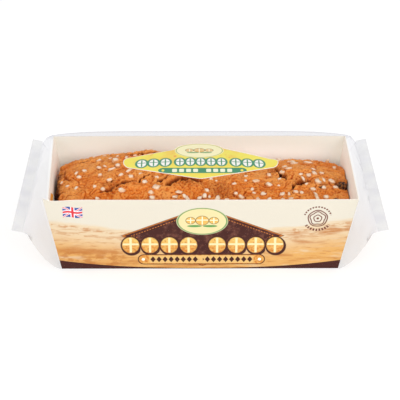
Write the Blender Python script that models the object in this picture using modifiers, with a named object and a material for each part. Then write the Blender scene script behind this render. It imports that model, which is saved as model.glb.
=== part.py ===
"""A sugar-nibbed hot cross bun loaf in an open card tray, wrapped in clear film with a flat seal fin
at each end and a paper label on top. Metres, +Z up, long side along X, front towards -Y, and the
origin under the middle of the tray's base."""

import math
import random

import bmesh
import bpy
from mathutils import Vector, noise

GAP = 0.0003  # left between pieces that touch

# The tray: a folded card box, open at the top, whose four walls lean outwards.
RIM_LENGTH = 0.240
RIM_WIDTH = 0.114
TRAY_HEIGHT = 0.0665
BASE_LENGTH = 0.2156
BASE_WIDTH = 0.0914
CARD = 0.0006
EAR_WIDTH = 0.005  # the front panel stands past the left end wall by this much at the rim
EAR_ROOT = 0.004
EAR_FOOT = 0.002
EAR_SETBACK = 0.3  # in thicknesses of card, as is the next
EAR_THICKNESS = 0.35

# The loaf: domed, highest left of the middle, leaning on the right wall and clear of the left one.
LOAF_LEFT = -0.1125
LOAF_RIGHT = 0.1164
LOAF_HALF_WIDTH = 0.0516
LOAF_BASE_INSET = 0.0010
SHOULDER = 0.043
END_SHOULDER_RISE = 0.011
CROWN = 0.0565
HUMP = 0.0123
HUMP_AT = -0.035
HUMP_SPREAD = 0.060
END_ROUNDING = 12
CORNER_PULL = 0.10
SIDE_BOW = 0.0006
CRUST_RELIEF = 0.0012
CRUST_SCALE = 80.0
CELLS_LONG = 46
CELLS_WIDE = 20
SIDE_RINGS = 4

# Lumps that stand up from the crust: centre X, centre Y, radius, rise.
LOBES = (
    (0.077, 0.008, 0.014, 0.0028),
    (-0.103, -0.002, 0.011, 0.0018),
    (0.012, -0.030, 0.012, 0.0012),
    (-0.020, 0.002, 0.016, 0.0020),
)

# Cracks across the crust, each a line of (X, Y) with its half width and depth.
CRACKS = (
    (((-0.080, -0.033), (-0.068, -0.028), (-0.0635, -0.0255), (-0.052, -0.024)), 0.0011, 0.0030),
    (((-0.047, -0.024), (-0.041, -0.020), (-0.034, -0.018)), 0.0012, 0.0032),
    (((-0.0345, -0.027), (-0.027, -0.018), (-0.022, -0.010)), 0.0013, 0.0034),
    (((-0.025, -0.029), (-0.017, -0.021), (-0.008, -0.018), (0.006, -0.016)), 0.0024, 0.0060),
    (((0.060, 0.020), (0.0615, 0.010), (0.0665, -0.002), (0.072, -0.0165)), 0.0018, 0.0055),
    (((0.0735, -0.013), (0.0795, -0.0085), (0.088, -0.007)), 0.0014, 0.0040),
    (((-0.055, 0.024), (-0.036, 0.028), (-0.020, 0.023)), 0.0014, 0.0035),
    (((0.018, 0.030), (0.034, 0.027), (0.046, 0.031)), 0.0014, 0.0035),
)
CRACK_FLARE = 2.0  # a crack's lips, above the crust, against its half width at the crust
CRACK_LIP = 0.0025
CRACK_TIP = 0.35

# Raisins at the surface: X, Y and length.
RAISINS = ((0.1118, -0.009, 0.0085), (0.0965, -0.015, 0.0062), (0.105, -0.031, 0.0056))
RAISIN_SINK = 0.0010
RAISIN_WRINKLE = 0.25

# Sugar nibs, from the first placed and largest to the last.
NIB_COUNT = 112
NIB_SPACING = 0.0105
NIB_LARGEST = 0.0054
NIB_SMALLEST = 0.0032
NIB_TO_CRACK = 0.0045
NIB_LIFT = 0.14
SEED = 11

# The film: a tube round the tray that flattens into a fin at each end.
FILM = 0.0005
FILM_OFFSET = 0.0009
FILM_EDGE_RISE = 0.0012
FILM_CROWN_RISE = 0.0025
FILM_CROWN_BULGE = 0.0010
FILM_BULGE = 0.0033
FILM_SIDE_BULGE = 0.0030
FILM_SHELF = 0.053  # half width of the film's top before it rounds over the rim
FIN_INNER = 0.132
FIN_OUTER = 0.140
FIN_HALF_LENGTH = 0.084
FIN_HEIGHT = 0.0515
FIN_OUTER_RISE = 0.0017
FIN_TILT = -0.018
FIN_THICKNESS = 0.0010
MID_STATIONS = (-1.0, -0.93, -0.8, -0.55, -0.28, 0.0, 0.28, 0.55, 0.8, 0.93, 1.0)
END_STATIONS = (0.2, 0.4, 0.6, 0.8, 0.93, 1.0)
HOLLOW_END = 0.93  # the hollow stops at this end station, where the wedge is a few millimetres thick
HOLLOW_FLOOR = -0.003
MOST_SHELL_FACTOR = 1.5

# The points of half a cross-section of the tube, counted from under the middle of the base.
SIDE_STEPS = (0.2, 0.4, 0.6, 0.8, 1.0)
BASE_CORNER = 2
FOLD = BASE_CORNER + 2  # becomes the fin's outer corner
RIM_CORNER = BASE_CORNER + len(SIDE_STEPS)
CORNER_STEPS = (0.35, 0.7)
TOP_STEPS = (1.0, 0.75, 0.5, 0.25, 0.0)
SIDE_GATHER = 0.2  # the side's film is gathered to this share of its height along the fin

# Where the curve from the tray's end to the fin has its control point, as shares of the way along
# X, Y and Z: under the base, half way up the side, and over the rim.
UNDER_BEND = Vector((0.57, 0.22, 0.17))
SIDE_BEND = Vector((0.5, 0.5, 0.5))
RIM_BEND = Vector((0.62, 0.5, 0.30))

# The label: a flat diamond with round tips and an oval over its far edge. Each edge has its distance
# from the long middle line at the label's middle, and how much of that it loses up to the tip.
LABEL_CENTRE_X = 0.0008
LABEL_CENTRE_Y = -0.0090
LABEL_HALF_LENGTH = 0.0605
LABEL_NEAR = (0.0280, 0.0192)
LABEL_FAR_LEFT = (0.0317, 0.0271)
LABEL_FAR_RIGHT = (0.0345, 0.0332)
LABEL_TIP = 0.90  # the round tips start at this share of the half length
LABEL_BLUNTNESS = 0.04
OVAL_CENTRE_X = -0.0003
OVAL_CENTRE_Y = 0.0113
OVAL_HALF_LENGTH = 0.0202
OVAL_HALF_WIDTH = 0.0143
LABEL_THICKNESS = 0.0004
LABEL_COLUMNS = 44
LABEL_ROWS = (0.0, 0.33, 0.67, 1.0)


def clear_scene():
    for item in list(bpy.data.objects):
        bpy.data.objects.remove(item, do_unlink=True)


def new_collection(name):
    collection = bpy.data.collections.new(name)
    bpy.context.scene.collection.children.link(collection)
    return collection


def new_material(name, colour, roughness, alpha=1.0):
    material = bpy.data.materials.new(name)
    material.use_nodes = True
    shader = material.node_tree.nodes["Principled BSDF"]
    shader.inputs["Base Color"].default_value = (*colour, 1.0)
    shader.inputs["Roughness"].default_value = roughness
    shader.inputs["Metallic"].default_value = 0.0
    shader.inputs["Alpha"].default_value = alpha
    return material


def new_object(name, bm, collection, material=None):
    mesh = bpy.data.meshes.new(name)
    bm.to_mesh(mesh)
    bm.free()
    item = bpy.data.objects.new(name, mesh)
    collection.objects.link(item)
    if material:
        mesh.materials.append(material)
    return item


def new_cutter(name, bm, cutters):
    cutter = new_object(name, bm, cutters)
    cutter.hide_render = True
    cutter.display_type = "WIRE"
    return cutter


def apply_modifiers(item):
    """Replaces an object's mesh with the one that its modifiers make."""
    graph = bpy.context.evaluated_depsgraph_get()
    mesh = bpy.data.meshes.new_from_object(item.evaluated_get(graph))
    item.modifiers.clear()
    old = item.data
    item.data = mesh
    bpy.data.meshes.remove(old)


def apply_boolean(item, operation, tools):
    """Cuts a collection's objects from the item, or joins them to it, and removes them."""
    modifier = item.modifiers.new(operation.title(), "BOOLEAN")
    modifier.operation = operation
    modifier.operand_type = "COLLECTION"
    modifier.collection = tools
    modifier.solver = "EXACT"
    apply_modifiers(item)
    for tool in list(tools.objects):
        bpy.data.objects.remove(tool, do_unlink=True)
    bpy.data.collections.remove(tools)


def keep_largest_piece(item):
    """Drops any loose scrap that a Boolean left."""
    bm = bmesh.new()
    bm.from_mesh(item.data)
    unseen = set(bm.verts)
    pieces = []
    while unseen:
        piece = {unseen.pop()}
        front = list(piece)
        while front:
            vert = front.pop()
            near = {edge.other_vert(vert) for edge in vert.link_edges} - piece
            piece |= near
            front += near
        unseen -= piece
        pieces.append(piece)
    pieces.sort(key=len)
    scraps = [vert for piece in pieces[:-1] for vert in piece]
    bmesh.ops.delete(bm, geom=scraps, context="VERTS")
    bm.to_mesh(item.data)
    bm.free()


def lerp(a, b, t):
    return a + (b - a) * t


def wall_at(z, base, rim):
    """The outer half size of the tray at height z, from its sizes at the base and the rim."""
    return lerp(base, rim, z / TRAY_HEIGHT) / 2


# ---------------------------------------------------------------- tray


def make_tray(parts):
    """A cube without its top, spread towards the rim and given the card's thickness."""
    bm = bmesh.new()
    bmesh.ops.create_cube(bm, size=1.0)
    top = [face for face in bm.faces if face.calc_center_median().z > 0.4]
    bmesh.ops.delete(bm, geom=top, context="FACES_ONLY")
    for vert in bm.verts:
        at_rim = vert.co.z > 0
        x = math.copysign((RIM_LENGTH if at_rim else BASE_LENGTH) / 2, vert.co.x)
        y = math.copysign((RIM_WIDTH if at_rim else BASE_WIDTH) / 2, vert.co.y)
        if at_rim and x < 0 and y < 0:
            x += EAR_WIDTH
        vert.co = (x, y, TRAY_HEIGHT if at_rim else 0.0)
    tray = new_object("tray", bm, parts, new_material("printed card", (0.83, 0.62, 0.36), 0.55))
    wall = tray.modifiers.new("Card", "SOLIDIFY")
    wall.thickness = CARD
    wall.offset = -1.0
    wall.use_even_offset = True
    apply_modifiers(tray)
    ears = new_collection("tray ears")
    make_ear(ears)
    apply_boolean(tray, "UNION", ears)
    return tray


def make_ear(ears):
    """The tip of the front panel past the left end wall: a thin plate inside the card's thickness."""
    slope = (RIM_WIDTH - BASE_WIDTH) / 2 / TRAY_HEIGHT
    head = TRAY_HEIGHT - CARD / 6
    foot_x = -wall_at(EAR_FOOT, BASE_LENGTH, RIM_LENGTH)
    head_x = -RIM_LENGTH / 2
    outline = (
        (foot_x, EAR_FOOT),
        (head_x, head),
        (head_x + EAR_WIDTH + EAR_ROOT, head),
        (foot_x + EAR_ROOT, EAR_FOOT),
    )
    setback = -BASE_WIDTH / 2 + CARD * EAR_SETBACK
    bm = bmesh.new()
    face = bm.faces.new([bm.verts.new((x, setback - slope * z, z)) for x, z in outline])
    plate = bmesh.ops.extrude_face_region(bm, geom=[face])["geom"]
    moved = [item for item in plate if isinstance(item, bmesh.types.BMVert)]
    bmesh.ops.translate(bm, verts=moved, vec=(0, CARD * EAR_THICKNESS, 0))
    bmesh.ops.recalc_face_normals(bm, faces=bm.faces)
    return new_object("ear", bm, ears)


# ---------------------------------------------------------------- loaf


def loaf_plan(u, v):
    """The loaf's outline from above, with pulled-in corners, for u and v from -1 to 1."""
    x = lerp(LOAF_LEFT, LOAF_RIGHT, (1 + u * (1 - CORNER_PULL * v**8)) / 2)
    return x, LOAF_HALF_WIDTH * v * (1 - CORNER_PULL * u**8)


def base_plan(u, v):
    """The same for the flat base, just inside the tray's walls."""
    inset = CARD + LOAF_BASE_INSET
    x = (BASE_LENGTH / 2 - inset) * u * (1 - CORNER_PULL * v**8)
    return x, (BASE_WIDTH / 2 - inset) * v * (1 - CORNER_PULL * u**8)


def crust_relief(x, y):
    """Lobes and fine unevenness of the crust."""
    place = Vector((x, y, 0.0)) * CRUST_SCALE
    rise = CRUST_RELIEF * (noise.noise(place) + 0.5 * noise.noise(place * 2.7 + Vector((5, 0, 0))))
    for centre_x, centre_y, radius, height in LOBES:
        distance = math.hypot(x - centre_x, y - centre_y) / radius
        rise += height * math.exp(-(distance**4))
    return rise


def loaf_top(u, v):
    """A point of the crust, for u and v from -1 to 1."""
    x, y = loaf_plan(u, v)
    shoulder = SHOULDER + END_SHOULDER_RISE * abs(u) ** END_ROUNDING * (1 - v * v)
    ridge = CROWN + HUMP * math.exp(-(((x - HUMP_AT) / HUMP_SPREAD) ** 2))
    dome = (1 - abs(u) ** END_ROUNDING) ** 0.5 * (1 - abs(v) ** 2.4) ** 0.55
    return Vector((x, y, lerp(shoulder, ridge, dome) + crust_relief(x, y) * min(1.0, dome * 1.5)))


def crust_height(x, y):
    """The crust's height over (x, y), found by walking u and v to that place."""
    u = v = 0.0
    for _ in range(6):
        point = loaf_top(u, v)
        u = max(-1.0, min(1.0, u + (x - point.x) * 2 / (LOAF_RIGHT - LOAF_LEFT)))
        v = max(-1.0, min(1.0, v + (y - point.y) / LOAF_HALF_WIDTH))
    return loaf_top(u, v).z


def crust_normal(x, y, reach=0.003):
    rise_x = crust_height(x + reach, y) - crust_height(x - reach, y)
    rise_y = crust_height(x, y + reach) - crust_height(x, y - reach)
    return Vector((-rise_x, -rise_y, 2 * reach)).normalized()


def crowded(t, ease):
    """Moves evenly spaced values from -1 to 1 towards both ends."""
    return t * (1 + ease * (1 - t * t))


def make_loaf_body(parts):
    """A grid bent into the crust, its edge extruded down along the walls to a flat base."""
    bm = bmesh.new()
    bmesh.ops.create_grid(bm, x_segments=CELLS_LONG, y_segments=CELLS_WIDE, size=1.0)
    walls = {}
    for vert in bm.verts:
        u, v = crowded(vert.co.x, 0.35), crowded(vert.co.y, 0.45)
        vert.co = loaf_top(u, v)
        if vert.is_boundary:
            walls[vert.co.to_tuple()] = (vert.co.copy(), Vector((*base_plan(u, v), CARD + GAP)))
    rim = [edge for edge in bm.edges if edge.is_boundary]
    for ring in range(1, SIDE_RINGS + 1):
        made = bmesh.ops.extrude_edge_only(bm, edges=rim)["geom"]
        rim = [item for item in made if isinstance(item, bmesh.types.BMEdge) and item.is_boundary]
        lowered = {}
        for vert in (item for item in made if isinstance(item, bmesh.types.BMVert)):
            high, low = walls[vert.co.to_tuple()]
            vert.co = high.lerp(low, ring / SIDE_RINGS)
            vert.co.x -= math.copysign(SIDE_BOW * math.sin(math.pi * ring / SIDE_RINGS), vert.co.x)
            lowered[vert.co.to_tuple()] = (high, low)
        walls = lowered
    bmesh.ops.holes_fill(bm, edges=rim)
    bmesh.ops.recalc_face_normals(bm, faces=bm.faces)
    return new_object("loaf", bm, parts, new_material("baked crust", (0.56, 0.20, 0.055), 0.75))


def make_crack(number, line, half_width, depth, cutters):
    """A V-shaped cutter that follows the crust along a crack and thins out at both ends."""
    bm = bmesh.new()
    rings = []
    for index, (x, y) in enumerate(line):
        before = Vector(line[max(0, index - 1)])
        after = Vector(line[min(len(line) - 1, index + 1)])
        size = 1.0 if 0 < index < len(line) - 1 else CRACK_TIP
        across = (after - before).orthogonal().normalized() * half_width * CRACK_FLARE * size
        crust = crust_height(x, y)
        rings.append([
            bm.verts.new((x + across.x, y + across.y, crust + CRACK_LIP)),
            bm.verts.new((x, y, crust - depth * size)),
            bm.verts.new((x - across.x, y - across.y, crust + CRACK_LIP)),
        ])
    for first, second in zip(rings, rings[1:]):
        for corner in range(3):
            after = (corner + 1) % 3
            bm.faces.new((first[corner], first[after], second[after], second[corner]))
    bm.faces.new(rings[0])
    bm.faces.new(reversed(rings[-1]))
    bmesh.ops.recalc_face_normals(bm, faces=bm.faces)
    return new_cutter(f"crack {number}", bm, cutters)


def raisin_form(index, grow=0.0):
    """An uneven ball of 80 faces, flattened onto the crust."""
    x, y, length = RAISINS[index]
    normal = crust_normal(x, y)
    centre = Vector((x, y, crust_height(x, y))) - normal * RAISIN_SINK
    radii = (length * 0.5, length * 0.36, length * 0.30)
    turn = normal.to_track_quat("Z", "Y")
    bm = bmesh.new()
    bmesh.ops.create_icosphere(bm, subdivisions=2, radius=1.0)
    for vert in bm.verts:
        dent = 1 + RAISIN_WRINKLE * noise.noise(vert.co * 1.9 + Vector((3.0 + index, 0, 0)))
        shaped = Vector([place * (radius * dent + grow) for place, radius in zip(vert.co, radii)])
        vert.co = centre + turn @ shaped
    return bm


def make_raisins(parts):
    skin = new_material("raisin skin", (0.045, 0.016, 0.012), 0.5)
    for index in range(len(RAISINS)):
        new_object(f"raisin_{index + 1}", raisin_form(index), parts, skin)


def clear_of_cracks(x, y):
    """Whether a nib at (x, y) stays off every crack."""
    point = Vector((x, y))
    for line, half_width, _ in CRACKS:
        for first, second in zip(line, line[1:]):
            start, run = Vector(first), Vector(second) - Vector(first)
            along = max(0.0, min(1.0, (point - start).dot(run) / run.length_squared))
            if (point - start - run * along).length < NIB_TO_CRACK + half_width:
                return False
    return True


def nib_places(rng):
    """Seeded places over the crust, each at least a nib's spacing from the others."""
    places = []
    while len(places) < NIB_COUNT:
        x, y = loaf_plan(rng.uniform(-0.95, 0.95), rng.uniform(-0.90, 0.90))
        apart = all(math.hypot(x - a, y - b) > NIB_SPACING for a, b in places)
        off_raisins = all(math.hypot(x - a, y - b) > size for a, b, size in RAISINS)
        if apart and off_raisins and clear_of_cracks(x, y):
            places.append((x, y))
    return places


def make_nibs(nibs):
    """Sugar nibs: small uneven lumps of 20 faces, partly sunk in the crust."""
    rng = random.Random(SEED)
    for index, (x, y) in enumerate(nib_places(rng)):
        size = lerp(NIB_LARGEST, NIB_SMALLEST, index / NIB_COUNT)
        normal = crust_normal(x, y)
        centre = Vector((x, y, crust_height(x, y))) + normal * size * NIB_LIFT
        turn = normal.to_track_quat("Z", "Y")
        spin = rng.uniform(0, math.tau)
        stretch = Vector((1.0, rng.uniform(0.6, 0.85), rng.uniform(0.55, 0.75))) * size
        bm = bmesh.new()
        bmesh.ops.create_icosphere(bm, subdivisions=1, radius=0.5)
        for vert in bm.verts:
            long, wide, high = vert.co * stretch * rng.uniform(0.88, 1.12)
            spun_x = long * math.cos(spin) - wide * math.sin(spin)
            spun_y = long * math.sin(spin) + wide * math.cos(spin)
            vert.co = centre + turn @ Vector((spun_x, spun_y, high))
        new_object(f"nib {index}", bm, nibs)


def make_loaf(parts):
    """The loaf with its cracks and raisin pockets cut out and its nibs fused on."""
    loaf = make_loaf_body(parts)
    cutters = new_collection("loaf cutters")
    for number, (line, half_width, depth) in enumerate(CRACKS, 1):
        make_crack(number, line, half_width, depth, cutters)
    for index in range(len(RAISINS)):
        new_cutter(f"pocket {index + 1}", raisin_form(index, GAP), cutters)
    apply_boolean(loaf, "DIFFERENCE", cutters)
    nibs = new_collection("sugar nibs")
    make_nibs(nibs)
    apply_boolean(loaf, "UNION", nibs)
    keep_largest_piece(loaf)
    return loaf


# ---------------------------------------------------------------- film


def film_fullness(x):
    """1 over the middle of the tray, falling to 0 at its ends, where the film is drawn tight."""
    return max(0.0, 1 - abs(x / (RIM_LENGTH / 2)) ** 6)


def film_top(x, y):
    """The height of the film's outer face over the tray."""
    full = film_fullness(x)
    edge = TRAY_HEIGHT + FILM_EDGE_RISE + FILM_BULGE * full
    crown = FILM_CROWN_RISE + FILM_CROWN_BULGE * full
    return edge + crown * (1 - (y / (RIM_WIDTH / 2)) ** 2)


def film_side(x, z):
    """The film's outer half width beside the tray at height z."""
    bulge = FILM_SIDE_BULGE * film_fullness(x) * (z / TRAY_HEIGHT) ** 3
    return wall_at(z, BASE_WIDTH, RIM_WIDTH) + FILM_OFFSET + bulge


def film_half_section(x):
    """Half a cross-section, as (y, z) from under the middle round the side to the top's middle."""
    base = film_side(x, 0.0)
    section = [(0.0, 0.0), (base / 2, 0.0), (base, 0.0)]
    section += [(film_side(x, TRAY_HEIGHT * step), TRAY_HEIGHT * step) for step in SIDE_STEPS]
    side = section[RIM_CORNER][0]
    shelf = film_top(x, FILM_SHELF)
    for step in CORNER_STEPS:
        y = lerp(side, lerp(side, FILM_SHELF, step), step)
        z = lerp(lerp(TRAY_HEIGHT, shelf, step), shelf, step)
        section.append((y, z))
    section += [(FILM_SHELF * step, film_top(x, FILM_SHELF * step)) for step in TOP_STEPS]
    return section


def fin_places(section):
    """How far from the fin's middle each point of the section ends up, with the side gathered."""
    lengths = [0.0]
    for index, (low, high) in enumerate(zip(section, section[1:])):
        gather = SIDE_GATHER if BASE_CORNER <= index < RIM_CORNER else 1.0
        lengths.append(lengths[-1] + gather * math.dist(low, high))
    fold, total = lengths[FOLD], lengths[-1]
    lower = [length / fold for length in lengths[: FOLD + 1]]
    upper = [(total - length) / (total - fold) for length in lengths[FOLD + 1 :]]
    return [share * FIN_HALF_LENGTH for share in lower + upper]


def bend_shares(z):
    """Where the run to the fin bends, for a point that leaves the tray at height z."""
    step = z / TRAY_HEIGHT
    if step < 0.5:
        return UNDER_BEND.lerp(SIDE_BEND, step / 0.5)
    return SIDE_BEND.lerp(RIM_BEND, min(1.0, max(0.0, (step - 0.6) / 0.4)))


def closed_ring(point):
    """A ring round the tube: point(index, sign) for one half, then for its mirror image."""
    last = RIM_CORNER + len(CORNER_STEPS) + len(TOP_STEPS)
    there = [point(index, 1) for index in range(last + 1)]
    back = [point(index, -1) for index in range(last - 1, 0, -1)]
    return there + back


def tray_ring(along):
    """The ring that is this share of the way from the tray's middle to its right end."""
    section = film_half_section(along * RIM_LENGTH / 2)

    def point(index, sign):
        y, z = section[index]
        end = wall_at(min(z, TRAY_HEIGHT), BASE_LENGTH, RIM_LENGTH) + FILM_OFFSET
        return Vector((end * along, sign * y, z))

    return closed_ring(point)


def fin_ring(outer):
    """The flat ring at the right fin's inner or outer edge."""
    places = fin_places(film_half_section(RIM_LENGTH / 2))

    def point(index, sign):
        y = sign * places[index]
        face = (index > FOLD) - (index < FOLD)
        z = FIN_HEIGHT + FIN_TILT * y + face * FIN_THICKNESS / 2
        return Vector((FIN_OUTER, y, z + FIN_OUTER_RISE) if outer else (FIN_INNER, y, z))

    return closed_ring(point)


def end_ring(share):
    """The ring this share of the way from the tray's right end to its fin."""
    ring = []
    for start, goal in zip(tray_ring(1.0), fin_ring(False)):
        bend = start + (goal - start) * bend_shares(start.z)
        ring.append(start.lerp(bend, share).lerp(bend.lerp(goal, share), share))
    return ring


def mirrored(ring):
    return [Vector((-point.x, point.y, point.z)) for point in ring]


def film_loft(last, with_fins):
    """A closed mesh from the left end to the right end, up to a given end station."""
    ends = [end_ring(share) for share in END_STATIONS if share <= last]
    if with_fins:
        ends.append(fin_ring(True))
    rings = [mirrored(ring) for ring in reversed(ends)]
    rings += [tray_ring(along) for along in MID_STATIONS]
    rings += ends
    bm = bmesh.new()
    rows = [[bm.verts.new(point) for point in ring] for ring in rings]
    count = len(rows[0])
    for first, second in zip(rows, rows[1:]):
        for index in range(count):
            after = (index + 1) % count
            bm.faces.new((first[index], first[after], second[after], second[index]))
    bm.faces.new(rows[0])
    bm.faces.new(reversed(rows[-1]))
    bmesh.ops.triangulate(bm, faces=bm.faces)
    bmesh.ops.recalc_face_normals(bm, faces=bm.faces)
    return bm


def make_hollow(hollows):
    """The film's form drawn in by its thickness, and let out through the floor under the tray."""
    bm = film_loft(HOLLOW_END, with_fins=False)
    bm.normal_update()
    inward = {vert: -vert.normal * min(MOST_SHELL_FACTOR, vert.calc_shell_factor()) for vert in bm.verts}
    for vert, direction in inward.items():
        vert.co += direction * FILM
        if vert.co.z < TRAY_HEIGHT / 20 and abs(vert.co.x) < BASE_LENGTH / 2 + FILM_OFFSET:
            vert.co.z = HOLLOW_FLOOR
    return new_cutter("hollow", bm, hollows)


def make_film(parts):
    """The wrapped pack's outer form, hollowed to a thin wall that opens under the tray's base."""
    skin = new_material("clear film", (0.86, 0.86, 0.88), 0.15, alpha=0.2)
    film = new_object("film_wrap", film_loft(1.0, with_fins=True), parts, skin)
    hollows = new_collection("film hollow")
    make_hollow(hollows)
    apply_boolean(film, "DIFFERENCE", hollows)
    return film


# ---------------------------------------------------------------- label


def label_edge(along, middle, taper):
    """An edge's distance from the middle line at a share of the label's half length, with round tips."""
    if along < LABEL_TIP:
        return middle - taper * math.hypot(along, LABEL_BLUNTNESS)
    round_share = (along - LABEL_TIP) / (1 - LABEL_TIP)
    return (middle - taper * LABEL_TIP) * math.sqrt(max(0.0, 1 - round_share**2))


def make_label(parts):
    """A thin paper plate bent to the film: strips across the diamond, widened by the oval."""
    bm = bmesh.new()
    columns = []
    for index in range(LABEL_COLUMNS + 1):
        along = -math.cos(math.pi * index / LABEL_COLUMNS)
        x = LABEL_CENTRE_X + along * LABEL_HALF_LENGTH
        near = LABEL_CENTRE_Y - label_edge(abs(along), *LABEL_NEAR)
        far = LABEL_CENTRE_Y + label_edge(abs(along), *(LABEL_FAR_LEFT if along < 0 else LABEL_FAR_RIGHT))
        oval = 1 - ((x - OVAL_CENTRE_X) / OVAL_HALF_LENGTH) ** 2
        if oval > 0:
            far = max(far, OVAL_CENTRE_Y + OVAL_HALF_WIDTH * math.sqrt(oval))
        heights = [(lerp(near, far, row), film_top(x, lerp(near, far, row)) + GAP) for row in LABEL_ROWS]
        columns.append([bm.verts.new((x, y, z)) for y, z in heights])
    for first, second in zip(columns, columns[1:]):
        for row in range(len(LABEL_ROWS) - 1):
            bm.faces.new((first[row], second[row], second[row + 1], first[row + 1]))
    bmesh.ops.remove_doubles(bm, verts=bm.verts, dist=0.00005)
    label = new_object("top_label", bm, parts, new_material("label paper", (0.91, 0.76, 0.07), 0.4))
    sheet = label.modifiers.new("Paper", "SOLIDIFY")
    sheet.thickness = LABEL_THICKNESS
    sheet.offset = 1.0
    return label


def main():
    clear_scene()
    parts = new_collection("Hot cross bun loaf")
    make_tray(parts)
    make_loaf(parts)
    make_raisins(parts)
    make_film(parts)
    make_label(parts)


main()
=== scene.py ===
"""The looks of a wrapped hot cross bun loaf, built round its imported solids: crust, sugar nibs,
raisins, card tray, clear film, paper label and a plain stage. Metres, +Z up, front towards -Y."""

import math
import random

import bmesh
import bpy
import numpy as np
from bpy.props import FloatProperty, FloatVectorProperty, IntProperty, PointerProperty
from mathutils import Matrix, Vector, noise


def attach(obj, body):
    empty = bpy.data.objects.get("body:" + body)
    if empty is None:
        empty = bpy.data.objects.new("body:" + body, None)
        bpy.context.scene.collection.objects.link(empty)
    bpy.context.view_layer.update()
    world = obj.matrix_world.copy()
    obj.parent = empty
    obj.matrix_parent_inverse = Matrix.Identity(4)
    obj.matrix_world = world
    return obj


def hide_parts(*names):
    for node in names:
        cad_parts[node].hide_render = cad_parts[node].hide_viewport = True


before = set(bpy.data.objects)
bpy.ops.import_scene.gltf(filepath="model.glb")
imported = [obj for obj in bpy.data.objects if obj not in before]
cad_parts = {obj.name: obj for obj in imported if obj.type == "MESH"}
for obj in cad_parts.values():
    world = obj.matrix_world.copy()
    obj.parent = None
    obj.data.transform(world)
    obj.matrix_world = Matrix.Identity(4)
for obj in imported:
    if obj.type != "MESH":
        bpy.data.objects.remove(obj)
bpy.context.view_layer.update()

bl_info = {
    "name": "Hot Cross Bun Loaf",
    "version": (1, 0, 0),
    "blender": (4, 5, 0),
    "location": "3D View > Sidebar > Loaf",
    "description": "Builds a sugar-nibbed loaf in a card tray, wrapped in clear film",
    "category": "Object",
}

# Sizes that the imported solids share.
RIM_LENGTH = 0.240
RIM_WIDTH = 0.114
TRAY_HEIGHT = 0.0665
BASE_LENGTH = 0.2156
BASE_WIDTH = 0.0914
CARD = 0.0006
EAR_WIDTH = 0.005
EAR_TIP = -0.1188
GAP = 0.0003

LOAF_LEFT, LOAF_RIGHT = -0.1125, 0.1164
LOAF_HALF_WIDTH = 0.0516
LOAF_BASE_INSET = 0.0010
SHOULDER = 0.043
END_SHOULDER_RISE = 0.011
CROWN = 0.0565
HUMP = 0.0123
HUMP_AT = -0.035
HUMP_SPREAD = 0.060
END_ROUNDING = 12
CORNER_PULL = 0.10
CRUST_RELIEF = 0.0012
CRUST_SCALE = 80.0
SIDE_RINGS = 10

# Lumps that stand up from the crust: centre X, centre Y, radius, rise.
LOBES = (
    (0.077, 0.008, 0.014, 0.0028),
    (-0.103, -0.002, 0.011, 0.0018),
    (0.012, -0.030, 0.012, 0.0012),
    (-0.020, 0.002, 0.016, 0.0020),
)

# Cracks across the crust, each a line of (X, Y) with its half width and depth.
CRACKS = (
    (
        ((-0.0770, -0.0312), (-0.0712, -0.0303), (-0.0669, -0.0285), (-0.0633, -0.0254), (-0.0578, -0.0240),
         (-0.0500, -0.0230)), 0.0013, 0.0026,
    ),
    (((-0.0478, -0.0258), (-0.0460, -0.0222), (-0.0438, -0.0192), (-0.0385, -0.0152)), 0.0010, 0.0038),
    (((-0.0342, -0.0262), (-0.0300, -0.0226), (-0.0270, -0.0192), (-0.0230, -0.0145)), 0.0010, 0.0038),
    (
        ((-0.0250, -0.0275), (-0.0200, -0.0228), (-0.0155, -0.0194), (-0.0101, -0.0182), (-0.0052, -0.0188),
         (0.0012, -0.0190)), 0.0024, 0.0026,
    ),
    (((0.0609, 0.0140), (0.0628, 0.0070), (0.0658, -0.0005), (0.0682, -0.0050)), 0.0013, 0.0036),
    (
        ((0.0712, -0.0212), (0.0730, -0.0140), (0.0756, -0.0102), (0.0784, -0.0078), (0.0860, -0.0058)),
        0.0012, 0.0036,
    ),
    (((-0.1070, 0.0150), (-0.1072, 0.0040), (-0.1058, -0.0055), (-0.1005, -0.0092)), 0.0013, 0.0011),
    (((-0.0975, 0.0215), (-0.0925, 0.0240), (-0.0880, 0.0255)), 0.0013, 0.0010),
    (((-0.0800, 0.0100), (-0.0735, 0.0085), (-0.0670, 0.0068)), 0.0011, 0.0016),
    (((-0.0550, 0.0240), (-0.0360, 0.0280), (-0.0200, 0.0230)), 0.0014, 0.0035),
    (((0.0180, 0.0300), (0.0340, 0.0270), (0.0460, 0.0310)), 0.0014, 0.0035),
)
CRACK_TIP = 0.50
DARKEST_DEPTH = 0.0062

# Patches where the crust has crumbled: centre X, centre Y, radius.
CRUMBLED = (
    (0.016, -0.031, 0.009),
    (-0.010, -0.020, 0.009),
    (0.061, 0.010, 0.006),
    (-0.066, -0.028, 0.006),
    (0.112, -0.006, 0.006),
    (0.080, -0.008, 0.005),
)

# Holes torn in the crust: centre X, centre Y, radius, depth.
HOLES = (
    (0.0652, 0.0004, 0.0026, 0.0062),
    (0.0622, 0.0110, 0.0022, 0.0034),
    (0.0858, -0.0046, 0.0018, 0.0028),
    (0.1128, -0.0075, 0.0062, 0.0036),
    (0.0986, -0.0083, 0.0022, 0.0050),
    (0.0800, -0.0090, 0.0030, 0.0018),
    (-0.0235, -0.0274, 0.0022, 0.0062),
    (-0.0130, -0.0195, 0.0044, 0.0026),
    (-0.0680, -0.0290, 0.0015, 0.0026),
    (-0.0545, -0.0240, 0.0014, 0.0024),
    (-0.0910, -0.0248, 0.0010, 0.0016),
    (-0.1100, -0.0235, 0.0026, 0.0042),
    (0.1073, -0.0305, 0.0014, 0.0020),
)

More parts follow.
